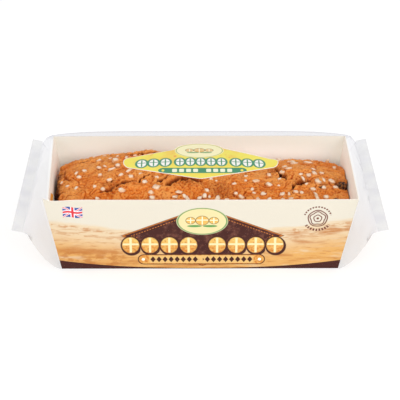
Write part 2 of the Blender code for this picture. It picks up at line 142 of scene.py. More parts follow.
# Raisins at the surface: X, Y and length.
RAISINS = ((0.1118, -0.009, 0.0085), (0.0965, -0.015, 0.0062), (0.105, -0.031, 0.0056))
RAISIN_SINK = 0.0010

# Sugar nibs that the front shows: X, Y, length and width in millimetres, and turn in degrees.
FRONT_NIBS = (
    (-108.5, -8.8, 2.3, 2.9, 0), (-103.3, -16.6, 4.3, 3.4, 45), (-96.2, -21.5, 5.8, 2.9, -78),
    (-97.3, -1, 4.7, 2.6, -32), (-94.8, -7.5, 4.3, 3.7, 32), (-91, 2.3, 4.3, 3.2, 32),
    (-81.3, -25.1, 3.7, 4.6, 0), (-80.4, 20, 3.6, 2.6, -9), (-79.6, 2.8, 4.5, 2.6, 25),
    (-74.7, 2.8, 3.9, 1.7, 9), (-69, -2.8, 6.2, 2.8, 81), (-64.4, 1.5, 4.1, 3.4, 0),
    (-67, 13.1, 4.4, 3.9, 17), (-71.3, 21.6, 2.5, 1.7, 0), (-65.9, 22.7, 2.6, 1.7, 32),
    (-58.4, 15.7, 3.1, 1.7, 0), (-51.3, 18.1, 2.7, 1.7, 0), (-77.9, -9.2, 4, 4.2, 32),
    (-69.9, -19.8, 4.6, 3.3, 71), (-61.3, -14.7, 3.3, 4.2, 0), (-74.6, -30.1, 4.3, 3.9, 0),
    (-60.2, -33.3, 6.2, 4.6, -14), (-78.8, -38.4, 4, 3.2, 17), (-53.6, -18.3, 4.3, 4.6, 32),
    (-55.3, -10.1, 6.2, 3.1, -71), (-46.1, -16, 3.1, 4.2, 0), (-33.2, -21.2, 3.4, 3.7, 32),
    (-42.7, -26.8, 4.3, 3.7, 45), (-33.5, -32, 6.2, 4.6, -5), (-37.8, -36.6, 4.5, 3.9, -50),
    (-36.9, -40.8, 4.7, 3.2, 0), (-16, -35.1, 5.3, 2.9, -9), (-19.3, -39.2, 4.7, 2.9, 0),
    (-11.9, -38.4, 5.1, 2.8, -64), (-9.6, -40.2, 6.1, 3.1, -71), (5.4, -32.2, 3.6, 4.5, 0),
    (3.7, -37.4, 3.9, 4.6, 0), (-0.3, -39.2, 4.4, 2.9, 17), (7.3, -38.4, 2.5, 2.9, 0),
    (13.6, -38.7, 6.2, 4.6, 45), (8.8, -17.8, 3.6, 2.9, 0), (12.8, -20.6, 2, 1.7, 0),
    (20.4, -38.7, 3.9, 2.1, 0), (26.6, -18.1, 4.7, 2.6, 0), (35.7, -12.4, 2.8, 2.3, 17),
    (36.3, -5.4, 3.6, 2.3, -39), (44, -11.4, 5.4, 3.9, 0), (54, -14.4, 6.2, 4.5, 50),
    (54.9, 1.8, 4.1, 2.9, 0), (40.6, -23.5, 4.2, 2.8, 55), (42, -28.1, 3.5, 2.2, -55),
    (49.1, -28.4, 4.6, 4.6, 32), (31.9, -33.3, 5.2, 3.9, -55), (27.7, -31.2, 3.4, 2.9, -17),
    (61.7, -15.5, 2.5, 2.3, 0), (62.9, -5.4, 3.6, 2.3, -39), (63.7, -27.3, 4.3, 4.6, 0),
    (64.1, -33.3, 3.5, 2.3, 0), (69.1, -27.6, 5.3, 1.9, 84), (70.4, -33, 4, 2.6, 17),
    (53.6, -33.8, 4, 2.9, 17), (44.7, -34.1, 3.1, 2.9, 0), (74.6, -23.9, 4.3, 4.5, 45),
    (79.2, -24.1, 3.8, 3.5, 45), (85.8, 0.3, 3.7, 3.2, -17), (79.8, 0, 3.1, 2.3, 0),
    (90.9, 4.3, 3.7, 3.5, 0), (96.9, 8.1, 3, 2.9, -17), (90.6, 13.8, 3.1, 2.3, 9),
    (88.4, -18.6, 4.5, 4.6, 0), (92.9, -7.1, 6.2, 4.5, 29), (97.8, -4, 5.5, 2, 84),
    (96.9, -17.4, 5, 3.6, -55), (104.1, -6.7, 6.2, 3.5, 5), (106.1, -14.8, 4, 3.9, -45),
    (90, -27, 6.2, 2.3, 9), (90.5, -31.6, 6.2, 2.6, -84), (97.9, -30.4, 4.8, 4.5, 17),
    (76.6, 26.5, 4.4, 3.5, -9), (88, 29.9, 5.1, 2.9, -9), (68, 13.1, 3.3, 2.9, -25),
    (70.6, 7.7, 4, 2.9, -17), (65.2, 3.4, 3.6, 3.2, 17), (108.4, 22.9, 5.7, 2.3, -64),
    (81.5, -5.1, 5.1, 1.9, -78), (83.5, -12.6, 3.1, 1.9, 32),
)
NIB_SPACING = 0.0105
NIB_TO_CRACK = 0.0045
NIB_LIFT = 0.06
NIBS_IN_SOLID = 112
SEED = 11

# The seed of noise_vector, which would follow the clock otherwise. It has to be set before the crust is made.
CRUST_SEED = 2
noise.seed_set(CRUST_SEED)

# The film.
FILM_OFFSET = 0.0009
FILM_EDGE_RISE = 0.0012
FILM_CROWN_RISE = 0.0025
FILM_CROWN_BULGE = 0.0010
FILM_BULGE = 0.0033
FILM_SIDE_BULGE = 0.0030
FILM_SHELF = 0.053
FIN_INNER = 0.132
FIN_OUTER = 0.140
FIN_HALF_LENGTH = 0.084
FIN_HEIGHT = 0.0515
FIN_OUTER_RISE = 0.0017
FIN_TILT = -0.018
SIDE_GATHER = 0.2
UNDER_BEND = Vector((0.57, 0.22, 0.17))
SIDE_BEND = Vector((0.5, 0.5, 0.5))
RIM_BEND = Vector((0.62, 0.5, 0.30))

# The label.
LABEL_CENTRE_X = 0.0008
LABEL_CENTRE_Y = -0.0090
LABEL_HALF_LENGTH = 0.0605
LABEL_NEAR = (0.0280, 0.0192)
LABEL_FAR_LEFT = (0.0317, 0.0271)
LABEL_FAR_RIGHT = (0.0345, 0.0332)
LABEL_TIP = 0.90
LABEL_BLUNTNESS = 0.04
OVAL_CENTRE_X = -0.0003
OVAL_CENTRE_Y = 0.0113
OVAL_HALF_LENGTH = 0.0202
OVAL_HALF_WIDTH = 0.0143

# The front panel's rim dips, most behind its left end, whose tip rises again.
RIM_DIP = 0.0006
EAR_DIP = 0.0010
EAR_DIP_AT = -0.1095
EAR_DIP_SPREAD = 0.010
EAR_RISE = 0.0022
EAR_RISE_FROM = -0.1145
EAR_RISE_RUN = 0.0055

# The printed corner that is folded in at the front left. Its heights are measured down from the rim.
FLAP_SLOPE = 1.475
FLAP_EDGE_Y = -0.0424
FLAP_TOP = 0.0050
FLAP_FOOT = 0.0195
FLAP_PAPER_FROM = 0.0128
FLAP_RIGHT = -0.1050

# The front's print: (X, Z) on the panel, and half sizes.
BADGE_CENTRE, BADGE_HALF = (0.0019, 0.0320), (0.0605, 0.0282)
BADGE_STEEPER = 1.072
BADGE_CUT_FROM, BADGE_CUT_TO = 0.0570, 0.0580
STITCHES_PER_METRE = 480.0
BUN_ROWS = (-0.0535, 0.0132)
BUN_PITCH = 0.0149
BUNS_IN_ROW = 4
BUN_CENTRE, BUN_HALF = (0, 0.0229), (0.0066, 0.0076)
BUN_SHADOW_CENTRE, BUN_SHADOW_HALF = (0.0006, 0.0218), (0.0080, 0.0090)
STRIP_CENTRE, STRIP_HALF = (0.0011, 0.0091), (0.0487, 0.0043)
STRIP_OUTLINE = 0.0007
FRONT_OVAL_CENTRE, FRONT_OVAL_HALF = (0.0017, 0.0459), (0.0194, 0.0127)
FLAG_CENTRE, FLAG_HALF = (-0.0968, 0.0545), (0.0075, 0.0048)
FLAG_WAVE = 0.0006
STAMP_CENTRE, STAMP_HALF = (0.0897, 0.0484), (0.0075, 0.0077)

# The label's print: (X, Y), half sizes, and rows of buns as first X, pitch and count.
LABEL_BUN_ROWS = ((-0.0452, 0.0092, 3), (-0.0155, 0.0081, 5), (0.0281, 0.0090, 3))
LABEL_BUN_CENTRE = (0, -0.0092)
LABEL_ARCH = -1.6
LABEL_STRIP_CENTRE, LABEL_STRIP_HALF = (0.0020, -0.0238), (0.0343, 0.0042)
LABEL_OVAL_INSET = 0.0008


def srgb(red, green, blue):
    """A colour given from 0 to 255, as it looks on screen, in the linear values that shaders take."""
    shares = (value / 255 for value in (red, green, blue))
    return tuple(s / 12.92 if s <= 0.04045 else ((s + 0.055) / 1.055) ** 2.4 for s in shares)


def colour_property(name, description, colour):
    return FloatVectorProperty(
        name=name, description=description, subtype="COLOR", size=3, min=0.0, max=1.0, default=srgb(*colour)
    )


def length_property(name, description, length):
    return FloatProperty(
        name=name, description=description, default=length, subtype="DISTANCE", unit="LENGTH", precision=5
    )


def share_property(name, description, share):
    return FloatProperty(name=name, description=description, default=share, subtype="FACTOR")


def power_property(name, description, power):
    return FloatProperty(name=name, description=description, default=power, subtype="POWER", unit="POWER")


def angle_property(name, description, degrees):
    return FloatProperty(name=name, description=description, default=math.radians(degrees), subtype="ANGLE")


def lerp(a, b, t):
    return a + (b - a) * t


# ---------------------------------------------------------------- settings


class CrustSettings(bpy.types.PropertyGroup):
    """The loaf's crust."""

    cells_long: IntProperty(name="Cells along", description="Faces along the crust", default=430)
    cells_wide: IntProperty(name="Cells across", description="Faces across the crust", default=190)
    lumps: length_property("Lumps", "Height of the crust's uneven lumps", 0.0009)
    crumb: length_property("Crumb", "Height of the crust's fine grain", 0.00035)
    golden: colour_property("Golden", "Lightest baked colour", (241, 159, 80))
    brown: colour_property("Brown", "Main baked colour", (226, 121, 40))
    toasted: colour_property("Toasted", "Darkest baked colour", (196, 90, 22))
    torn: colour_property("Torn", "Colour of crumbled crust", (172, 76, 20))
    scorched: colour_property("Scorched", "Colour inside a crack", (136, 56, 14))
    deep_shade: colour_property("Pit", "Colour at the bottom of a crack", (60, 22, 6))


class NibSettings(bpy.types.PropertyGroup):
    """The sugar nibs."""

    extra: IntProperty(name="Small nibs", description="Nibs beside the larger ones", default=80)
    largest: length_property("Largest", "Length of the largest nib", 0.0054)
    smallest: length_property("Smallest", "Length of the smallest nib", 0.0026)
    sugar: colour_property("Sugar", "Colour of the sugar", (242, 222, 198))
    shade: colour_property("Shade", "Colour where syrup has soaked in", (226, 164, 108))


class RaisinSettings(bpy.types.PropertyGroup):
    """The raisins."""

    wrinkle: share_property("Wrinkle", "Depth of the folds, as a share of the radius", 0.34)
    skin: colour_property("Skin", "Colour of the skin", (54, 26, 10))
    bloom: colour_property("Bloom", "Colour of the skin's high folds", (156, 96, 44))


class TraySettings(bpy.types.PropertyGroup):
    """The card tray and its print."""

    card: length_property("Card", "Thickness of the card", CARD)
    bow: length_property("Bow", "How far the long rims bow outwards", 0.0008)
    inside: colour_property("Inside", "Colour of the card inside", (244, 244, 237))
    edge: colour_property("Cut edge", "Colour of the card's cut edge", (250, 246, 238))
    cream: colour_property("Cream", "Colour of the print's upper field", (217, 210, 194))
    straw: colour_property("Straw", "Light colour of the print's lower field", (220, 199, 166))
    gold: colour_property("Gold", "Deep colour of the print's lower field", (216, 164, 94))
    umber: colour_property("Umber", "Colour of the print's dark streaks", (184, 116, 54))
    amber: colour_property("Amber", "Deep colour of the printed buns", (198, 116, 44))
    wheat: colour_property("Wheat", "Light colour of the printed buns", (236, 198, 110))
    cocoa: colour_property("Cocoa", "Dark brown of the band and the badge", (66, 28, 22))


class FilmSettings(bpy.types.PropertyGroup):
    """The clear film and its seal fins."""

    wrinkle: length_property("Wrinkle", "Height of the folds at the ends", 0.0006)
    veil: colour_property("Veil", "Colour that the film adds to what it covers", (158, 156, 178))
    print_reflection_veil: colour_property("Low veil", "The same near the base, warmed by the print", (160, 146, 136))
    clear_share: share_property("Clear share", "How solid the film looks over the loaf", 0.002)
    end_share: share_property("End share", "How much more solid the gathered ends look", 0.084)
    rim_reflection_share: share_property("Edge share", "How solid the film looks where it rounds the back rim", 0.26)
    fin: colour_property("Fin", "Colour of the seal fins", (206, 206, 203))
    fin_share: share_property("Fin share", "How solid the seal fins look", 0.175)


class LabelSettings(bpy.types.PropertyGroup):
    """The paper label."""

    paper: length_property("Paper", "Thickness of the label", 0.0003)
    border: length_property("Border", "Width of the unprinted edge", 0.0005)
    yellow: colour_property("Yellow", "Main colour of the print", (240, 225, 84))
    orange: colour_property("Orange", "Colour of the print's warm clouds", (238, 176, 66))
    green: colour_property("Green", "Colour of the print's outlines", (56, 138, 98))
    white: colour_property("White", "Colour of the unprinted paper", (244, 242, 236))


class StageSettings(bpy.types.PropertyGroup):
    """The camera, the lights and the floor."""

    elevation: angle_property("Elevation", "Camera's height angle", 27.0)
    turn: angle_property("Turn", "Camera's turn to the right", -0.23)
    distance: length_property("Distance", "From the camera to the middle of the pack", 1.206)
    lens: FloatProperty(name="Lens", description="Focal length in millimetres", default=136.2)
    front: power_property("Front light", "Power of the light from the front", 5.6)
    side: power_property("Side lights", "Power of the light on each side", 6.0)
    sky: FloatProperty(name="Sky", description="Strength of the even light", default=0.80)
    floor: colour_property("Floor", "Colour of the floor", (176, 176, 176))
    glow: FloatProperty(name="Floor glow", description="Light the floor gives out by itself", default=0.62)


# ---------------------------------------------------------------- modelling by hand


def deselect_all():
    if bpy.context.mode != "OBJECT":
        bpy.ops.object.mode_set(mode="OBJECT")
    bpy.ops.object.select_all(action="DESELECT")


def take(piece):
    """Selects one piece alone and makes it active."""
    deselect_all()
    piece.select_set(True)
    bpy.context.view_layer.objects.active = piece


def added(name):
    """Names the primitive that was just added."""
    piece = bpy.context.active_object
    if piece is None or piece.type != "MESH":
        raise RuntimeError(f"no primitive was added for {name}")
    piece.name = name
    piece.data.name = name
    return piece


def add_grid(name, cells_x, cells_y):
    """A flat grid from -1 to 1 both ways."""
    deselect_all()
    bpy.ops.mesh.primitive_grid_add(x_subdivisions=cells_x, y_subdivisions=cells_y, size=2)
    return added(name)


def places_of(piece):
    places = np.empty(len(piece.data.vertices) * 3)
    piece.data.vertices.foreach_get("co", places)
    return places.reshape(-1, 3)


def normals_of(piece):
    normals = np.empty(len(piece.data.vertices) * 3)
    piece.data.vertex_normals.foreach_get("vector", normals)
    return normals.reshape(-1, 3)


def move_points(piece, places):
    piece.data.vertices.foreach_set("co", np.asarray(places, float).ravel())
    piece.data.update()


def shape_points(piece, shape):
    """Moves each point of a piece to shape(place)."""
    move_points(piece, [shape(Vector(place)) for place in places_of(piece)])


def apply_modifier(piece, kind, **settings):
    take(piece)
    modifier = piece.modifiers.new(kind.title(), kind)
    for name, value in settings.items():
        setattr(modifier, name, value)
    bpy.ops.object.modifier_apply(modifier=modifier.name)


def edit(piece, mode="FACE"):
    """Opens a piece in edit mode with nothing selected."""
    take(piece)
    bpy.ops.object.mode_set(mode="EDIT")
    bpy.ops.mesh.select_mode(type=mode)
    bpy.ops.mesh.select_all(action="DESELECT")


def edit_all(piece, mode="FACE"):
    """Opens a piece in edit mode with all of it selected."""
    edit(piece, mode)
    bpy.ops.mesh.select_all(action="SELECT")


def face_outwards(piece):
    edit_all(piece)
    bpy.ops.mesh.normals_make_consistent(inside=False)
    bpy.ops.object.mode_set(mode="OBJECT")


def turn_over(piece):
    edit_all(piece)
    bpy.ops.mesh.flip_normals()
    bpy.ops.object.mode_set(mode="OBJECT")


def smooth(piece, sharp_degrees=None):
    """Shades a piece smooth, all over or up to an angle between faces."""
    take(piece)
    if sharp_degrees is None:
        bpy.ops.object.shade_smooth()
    else:
        bpy.ops.object.shade_smooth_by_angle(angle=math.radians(sharp_degrees))


def mark(piece, name, values):
    """Gives each point of a piece a value that its material reads."""
    piece.data.attributes.new(name, "FLOAT", "POINT").data.foreach_set("value", values)


def join(pieces, name):
    take(pieces[0])
    for piece in pieces[1:]:
        piece.select_set(True)
    bpy.ops.object.join()
    return added(name)


def dress(piece, materials, slot, *nodes):
    """Gives a finished piece its materials, its place in the frame and the solids that it stands for."""
    if len(piece.data.materials) == 0:
        for material in materials:
            piece.data.materials.append(material)
    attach(piece, "root")
    if nodes:
        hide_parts(*nodes)


# ---------------------------------------------------------------- material nodes


class Graph:
    """Adds nodes to a tree and joins them."""

    def __init__(self, tree):
        self.tree = tree

    def feed(self, socket, value):
        if isinstance(value, bpy.types.NodeSocket):
            self.tree.links.new(value, socket)
        elif socket.type == "RGBA" and len(value) == 3:
            socket.default_value = (*value, 1.0)
        else:
            socket.default_value = value

    def node(self, kind, values=(), **settings):
        made = self.tree.nodes.new(kind)
        for name, value in settings.items():
            setattr(made, name, value)
        for key, value in dict(values).items():
            self.feed(made.inputs[key], value)
        return made

    def math(self, operation, *values, clamp=False):
        return self.node("ShaderNodeMath", enumerate(values), operation=operation, use_clamp=clamp).outputs[0]

    def chain(self, operation, values):
        """Joins values two at a time, from the first on."""
        result, *others = values
        for value in others:
            result = self.math(operation, result, value)
        return result

    def add(self, *values):
        return self.chain("ADD", values)

    def times(self, *values):
        return self.chain("MULTIPLY", values)

    def less(self, a, b):
        return self.math("SUBTRACT", a, b)

    def divide(self, a, b):
        return self.math("DIVIDE", a, b)

    def highest(self, a, b):
        return self.math("MAXIMUM", a, b)

    def lowest(self, a, b):
        return self.math("MINIMUM", a, b)

    def is_above(self, a, b):
        return self.math("GREATER_THAN", a, b)

    def is_below(self, a, b):
        return self.math("LESS_THAN", a, b)

    def absolute(self, value):
        return self.math("ABSOLUTE", value)

    def sine(self, value):
        return self.math("SINE", value)

    def near(self, value, middle, wide, tight):
        """1 close to the middle, 0 further off than wide."""
        return self.ramp(self.absolute(self.less(value, middle)), wide, tight)

    def ramp(self, value, low, high):
        """0 below low, 1 above high and smooth between; low may be the greater."""
        node = self.node("ShaderNodeMapRange", {"Value": value, "From Min": low, "From Max": high})
        node.interpolation_type = "SMOOTHSTEP"
        return node.outputs["Result"]

    def mix(self, share, first, second):
        node = self.node("ShaderNodeMix", data_type="RGBA", clamp_factor=True)
        for index, value in ((0, share), (6, first), (7, second)):
            self.feed(node.inputs[index], value)
        return node.outputs[2]

    def layers(self, colour, *prints):
        """A colour with each tint laid over it where its mask is 1, in turn."""
        for mask, tint in prints:
            colour = self.mix(mask, colour, tint)
        return colour

    def parts(self, vector):
        return self.node("ShaderNodeSeparateXYZ", {0: vector}).outputs

    def vector(self, x=0.0, y=0.0, z=0.0):
        return self.node("ShaderNodeCombineXYZ", {0: x, 1: y, 2: z}).outputs[0]

    def vector_math(self, operation, *values):
        return self.node("ShaderNodeVectorMath", enumerate(values), operation=operation).outputs

    def group(self, name, **values):
        """A shared node group, with its inputs given by name."""
        made = self.node("ShaderNodeGroup", (), node_tree=shared(name))
        for title, value in values.items():
            self.feed(made.inputs[title.title()], value)
        return made.outputs


def new_group(name, inputs, outputs):
    """An empty node group with its sockets, a graph on it, and its input and output nodes."""
    tree = bpy.data.node_groups.new(name, "ShaderNodeTree")
    for title, kind in inputs:
        tree.interface.new_socket(title, in_out="INPUT", socket_type=kind)
    for title, kind in outputs:
        tree.interface.new_socket(title, in_out="OUTPUT", socket_type=kind)
    graph = Graph(tree)
    return tree, graph, graph.node("NodeGroupInput").outputs, graph.node("NodeGroupOutput").inputs


VECTOR, VALUE = "NodeSocketVector", "NodeSocketFloat"

# How far a printed edge fades, in metres.
PRINT_BLUR = 0.0002


def mottle_group():
    """Uneven patches: noise stretched to run from 0 to 1 between two levels."""
    tree, graph, given, result = new_group(
        "Mottle",
        (("Place", VECTOR), ("Scale", VALUE), ("Detail", VALUE), ("Low", VALUE), ("High", VALUE)),
        (("Mask", VALUE),),
    )
    values = {"Vector": given["Place"], "Scale": given["Scale"], "Detail": given["Detail"]}
    cloud = graph.node("ShaderNodeTexNoise", values)
    graph.feed(result["Mask"], graph.ramp(cloud.outputs["Fac"], given["Low"], given["High"]))
    return tree


def bar_group():
    """A rectangle with round corners on a flat print, 1 inside and 0 outside."""
    tree, graph, given, result = new_group(
        "Bar",
        (("Place", VECTOR), ("Centre", VECTOR), ("Half", VECTOR), ("Corner", VALUE), ("Soft", VALUE)),
        (("Mask", VALUE),),
    )
    offset = graph.vector_math("SUBTRACT", given["Place"], given["Centre"])[0]
    reach = graph.vector_math("SUBTRACT", graph.vector_math("ABSOLUTE", offset)[0], given["Half"])[0]
    x, y = (graph.add(part, given["Corner"]) for part in graph.parts(reach)[:2])
    past_x, past_y = graph.highest(x, 0.0), graph.highest(y, 0.0)
    away = graph.math("SQRT", graph.add(graph.times(past_x, past_x), graph.times(past_y, past_y)))
    inner = graph.lowest(graph.highest(x, y), 0.0)
    share = graph.divide(graph.less(graph.add(away, inner), given["Corner"]), given["Soft"])
    graph.feed(result["Mask"], graph.math("SUBTRACT", 0.5, share, clamp=True))
    return tree


def oval_group():
    """An oval on a flat print: its mask, and how far out a place is, with 1 at the edge."""
    tree, graph, given, result = new_group(
        "Oval",
        (("Place", VECTOR), ("Centre", VECTOR), ("Half", VECTOR), ("Soft", VALUE)),
        (("Mask", VALUE), ("Share", VALUE)),
    )
    offset = graph.vector_math("SUBTRACT", given["Place"], given["Centre"])[0]
    scaled = graph.vector_math("DIVIDE", offset, given["Half"])[0]
    share = graph.vector_math("LENGTH", scaled)["Value"]
    graph.feed(result["Share"], share)
    outer, inner = graph.add(1.0, given["Soft"]), graph.less(1.0, given["Soft"])
    graph.feed(result["Mask"], graph.ramp(share, outer, inner))
    return tree


def diamond_group():
    """A diamond on a flat print: how far out a place is, with 1 at the edge."""
    tree, graph, given, result = new_group(
        "Diamond", (("Place", VECTOR), ("Centre", VECTOR), ("Half", VECTOR)), (("Share", VALUE),)
    )
    offset = graph.vector_math("SUBTRACT", given["Place"], given["Centre"])[0]
    scaled = graph.vector_math("DIVIDE", offset, given["Half"])[0]
    x, y, _ = graph.parts(graph.vector_math("ABSOLUTE", scaled)[0])
    graph.feed(result["Share"], graph.add(x, y))
    return tree


SHARED = {}


def shared(name):
    """The node groups that several materials use, each built once."""
    makers = {"mottle": mottle_group, "bar": bar_group, "oval": oval_group, "diamond": diamond_group}
    if name not in SHARED:
        SHARED[name] = makers[name]()
    return SHARED[name]


class Finish(Graph):
    """A material with one Principled shader, and the masks that its print or its wear is made of."""

    def __init__(self, name, roughness, **sockets):
        self.material = bpy.data.materials.new(name)
        self.material.use_nodes = True
        super().__init__(self.material.node_tree)
        self.shader = self.tree.nodes["Principled BSDF"]
        self.feed(self.shader.inputs["Roughness"], roughness)
        for socket, value in sockets.items():
            self.feed(self.shader.inputs[socket.replace("_", " ")], value)
        self.place = self.node("ShaderNodeTexCoord").outputs["Object"]

    def colour(self, colour):
        self.feed(self.shader.inputs["Base Color"], colour)

    def mottle(self, scale, low, high, detail=4.0, place=None):
        place = place or self.place
        return self.group("mottle", place=place, scale=scale, detail=detail, low=low, high=high)[0]

    def bar(self, place, centre, half, corner=0.0):
        size = {"centre": (*centre, 0), "half": (*half, 0)}
        return self.group("bar", place=place, corner=corner, soft=PRINT_BLUR, **size)["Mask"]

    def oval_sockets(self, place, centre, half, soft):
        return self.group("oval", place=place, centre=(*centre, 0), half=(*half, 1), soft=soft)

    def oval(self, place, centre, half, soft):
        return self.oval_sockets(place, centre, half, soft)["Mask"]

    def oval_share(self, place, centre, half):
        return self.oval_sockets(place, centre, half, 0.1)["Share"]

    def diamond(self, place, centre, half):
        return self.group("diamond", place=place, centre=(*centre, 0), half=(*half, 1))["Share"]

    def diamond_mask(self, place, centre, half):
        return self.ramp(self.diamond(place, centre, half), 1.06, 0.94)

    def attribute(self, name):
        return self.node("ShaderNodeAttribute", attribute_name=name).outputs["Fac"]

    def bump(self, height, depth):
        """Adds a bump whose height runs from 0 to 1 over this depth in metres."""
        values = {"Height": height, "Distance": depth, "Strength": 1.0}
        self.feed(self.shader.inputs["Normal"], self.node("ShaderNodeBump", values).outputs["Normal"])


# ---------------------------------------------------------------- the loaf's form


def loaf_plan(u, v):
    """The loaf's outline from above, with pulled-in corners, for u and v from -1 to 1."""
    x = lerp(LOAF_LEFT, LOAF_RIGHT, (1 + u * (1 - CORNER_PULL * v**8)) / 2)
    return x, LOAF_HALF_WIDTH * v * (1 - CORNER_PULL * u**8)


def crust_relief(x, y):
    """Lobes and broad unevenness of the crust."""
    place = Vector((x, y, 0.0)) * CRUST_SCALE
    rise = CRUST_RELIEF * (noise.noise(place) + 0.5 * noise.noise(place * 2.7 + Vector((5, 0, 0))))
    for centre_x, centre_y, radius, height in LOBES:
        distance = math.hypot(x - centre_x, y - centre_y) / radius
        rise += height * math.exp(-(distance**4))
    return rise


def loaf_top(u, v):
    """A point of the crust, for u and v from -1 to 1."""
    x, y = loaf_plan(u, v)
    shoulder = SHOULDER + END_SHOULDER_RISE * abs(u) ** END_ROUNDING * (1 - v * v)
    ridge = CROWN + HUMP * math.exp(-(((x - HUMP_AT) / HUMP_SPREAD) ** 2))
    dome = (1 - abs(u) ** END_ROUNDING) ** 0.5 * (1 - abs(v) ** 2.4) ** 0.55
    return Vector((x, y, lerp(shoulder, ridge, dome) + crust_relief(x, y) * min(1.0, dome * 1.5)))


def crust_height(x, y):
    """The crust's height over (x, y), found by walking u and v to that place."""
    u = v = 0.0
    for _ in range(6):
        point = loaf_top(u, v)
        u = max(-1.0, min(1.0, u + (x - point.x) * 2 / (LOAF_RIGHT - LOAF_LEFT)))
        v = max(-1.0, min(1.0, v + (y - point.y) / LOAF_HALF_WIDTH))
    return loaf_top(u, v).z


def crust_normal(x, y, reach=0.003):
    rise_x = crust_height(x + reach, y) - crust_height(x - reach, y)
    rise_y = crust_height(x, y + reach) - crust_height(x, y - reach)
    return Vector((-rise_x, -rise_y, 2 * reach)).normalized()


def crowded(t, ease):
    """Moves evenly spaced values from -1 to 1 towards both ends."""
    return t * (1 + ease * (1 - t * t))


def wandered(places):
    """The places seen through a slow and a fast waver, so that the cracks run ragged."""
    moved = []
    for place in places:
        point = Vector(place)
        waver = noise.noise_vector(point * 95) * 0.0026 + noise.noise_vector(point * 330) * 0.0014
        moved.append((point.x + waver.x, point.y + waver.y))
    return np.array(moved)


def crack_shape(places):
    """For each place near a crack: how far it moves, and how deep in the crack it lies, from 0 to 1.

    The floor of a crack drops. Its far lip swells and leans out over it.
    """
    flat = wandered(places)
    moves = np.zeros_like(places)
    deep = np.zeros(len(places))
    for given, half_width, depth in CRACKS:
        line = wandered([(x, y, crust_height(x, y)) for x, y in given])
        count = len(line) - 1
        nearest = np.full(len(places), 1.0)
        beside = np.zeros(len(places))
        whole = np.zeros(len(places))
        lean = np.zeros((len(places), 2))
        for index in range(count):
            start, run = line[index], line[index + 1] - line[index]
            along = np.clip((flat - start) @ run / (run @ run), 0, 1)
            offset = flat - start - along[:, None] * run
            away = np.linalg.norm(offset, axis=1)
            left = np.array((-run[1], run[0])) / np.linalg.norm(run)
            closer = away < nearest
            nearest[closer] = away[closer]
            beside[closer] = (offset @ left)[closer]
            whole[closer] = ((index + along) / count)[closer]
            lean[closer] = left
        size = CRACK_TIP + (1 - CRACK_TIP) * np.clip(np.sin(np.pi * whole) * 2, 0, 1)
        width = half_width * size
        cut = np.exp(-((nearest / (width * 1.15)) ** 4))
        lip = np.exp(-(((beside - width * 2.0) / (width * 1.6)) ** 2)) * (nearest < width * 6)
        moves[:, 2] += depth * size * (0.30 * lip - 1.05 * cut)
        moves[:, :2] -= lean * (depth * size * 0.25 * lip)[:, None]
        deep = np.maximum(deep, cut * size * min(1.0, depth / DARKEST_DEPTH) ** 0.5)
    for x, y, radius, depth in HOLES:
        centre = wandered([(x, y, crust_height(x, y))])[0]
        away = np.linalg.norm(flat - centre, axis=1)
        cut = np.exp(-((away / radius) ** 4))
        moves[:, 2] -= depth * cut
        deep = np.maximum(deep, cut * min(1.0, depth / DARKEST_DEPTH) ** 0.5)
    return moves, deep


def crumbled_at(x, y):
    share = 0.0
    for centre_x, centre_y, radius in CRUMBLED:
        share = max(share, math.exp(-(((x - centre_x) ** 2 + (y - centre_y) ** 2) / radius**2)))
    return share


def crust_detail(place, torn, lumps, crumb):
    """How far a place stands off the smooth form: lumps, torn plates, fine cracks, crumb and pores."""
    warped = place + noise.noise_vector(place * 120) * 0.003
    rise = lumps * (noise.noise(warped * 150) + 0.7 * noise.noise(warped * 300 + Vector((0, 0, 3))))
    rough = noise.noise(place * 55 + Vector((4, 0, 8))) + 0.35
    rise += 0.45 * lumps * max(0.0, rough) * (1 - 2 * abs(noise.noise(warped * 420)))
    vein = abs(noise.noise(Vector((warped.x * 55, warped.y * 80, warped.z * 70)) + Vector((7, 3, 0))))
    patchy = max(0.0, noise.noise(place * 38 + Vector((0, 9, 0))) + 0.15)
    rise -= 0.0012 * math.exp(-((vein / 0.035) ** 2)) * min(1.0, patchy * 3)
    plate = noise.noise(Vector((warped.x * 75, warped.y * 110, warped.z * 90)) + Vector((2, 6, 1)))
    uneven = max(0.0, min(1.0, noise.noise(place * 120 + Vector((3, 3, 9))) * 2.5 + 0.45))
    rise += uneven * lumps * (0.6 * math.tanh(plate * 7) - 0.7 * math.exp(-(((plate + 0.05) / 0.045) ** 2)))
    grain = noise.fractal(place * 520, 0.6, 2.1, 3)
    rise += crumb * grain * (1.5 + 4.5 * torn)
    near = noise.voronoi(place * 300)[0][0]
    if near < 0.42 and noise.noise(place * 90 + Vector((0, 0, 4))) > 0.1 - 0.5 * torn:
        rise -= 0.0010 * (1 - near / 0.42)
    return rise


def hollows_of(piece):
    """How far each point lies in from its neighbours' middle: above 0 in a crease, below 0 on a ridge."""
    places, normals = places_of(piece), normals_of(piece)
    ends = np.empty(len(piece.data.edges) * 2, int)
    piece.data.edges.foreach_get("vertices", ends)
    first, second = ends.reshape(-1, 2).T
    counts = np.bincount(ends, minlength=len(places))[:, None]
    middles = places
    for _ in range(2):
        sums = np.zeros_like(places)
        np.add.at(sums, first, middles[second])
        np.add.at(sums, second, middles[first])
        middles = sums / counts
    return np.einsum("ij,ij->i", middles - places, normals)


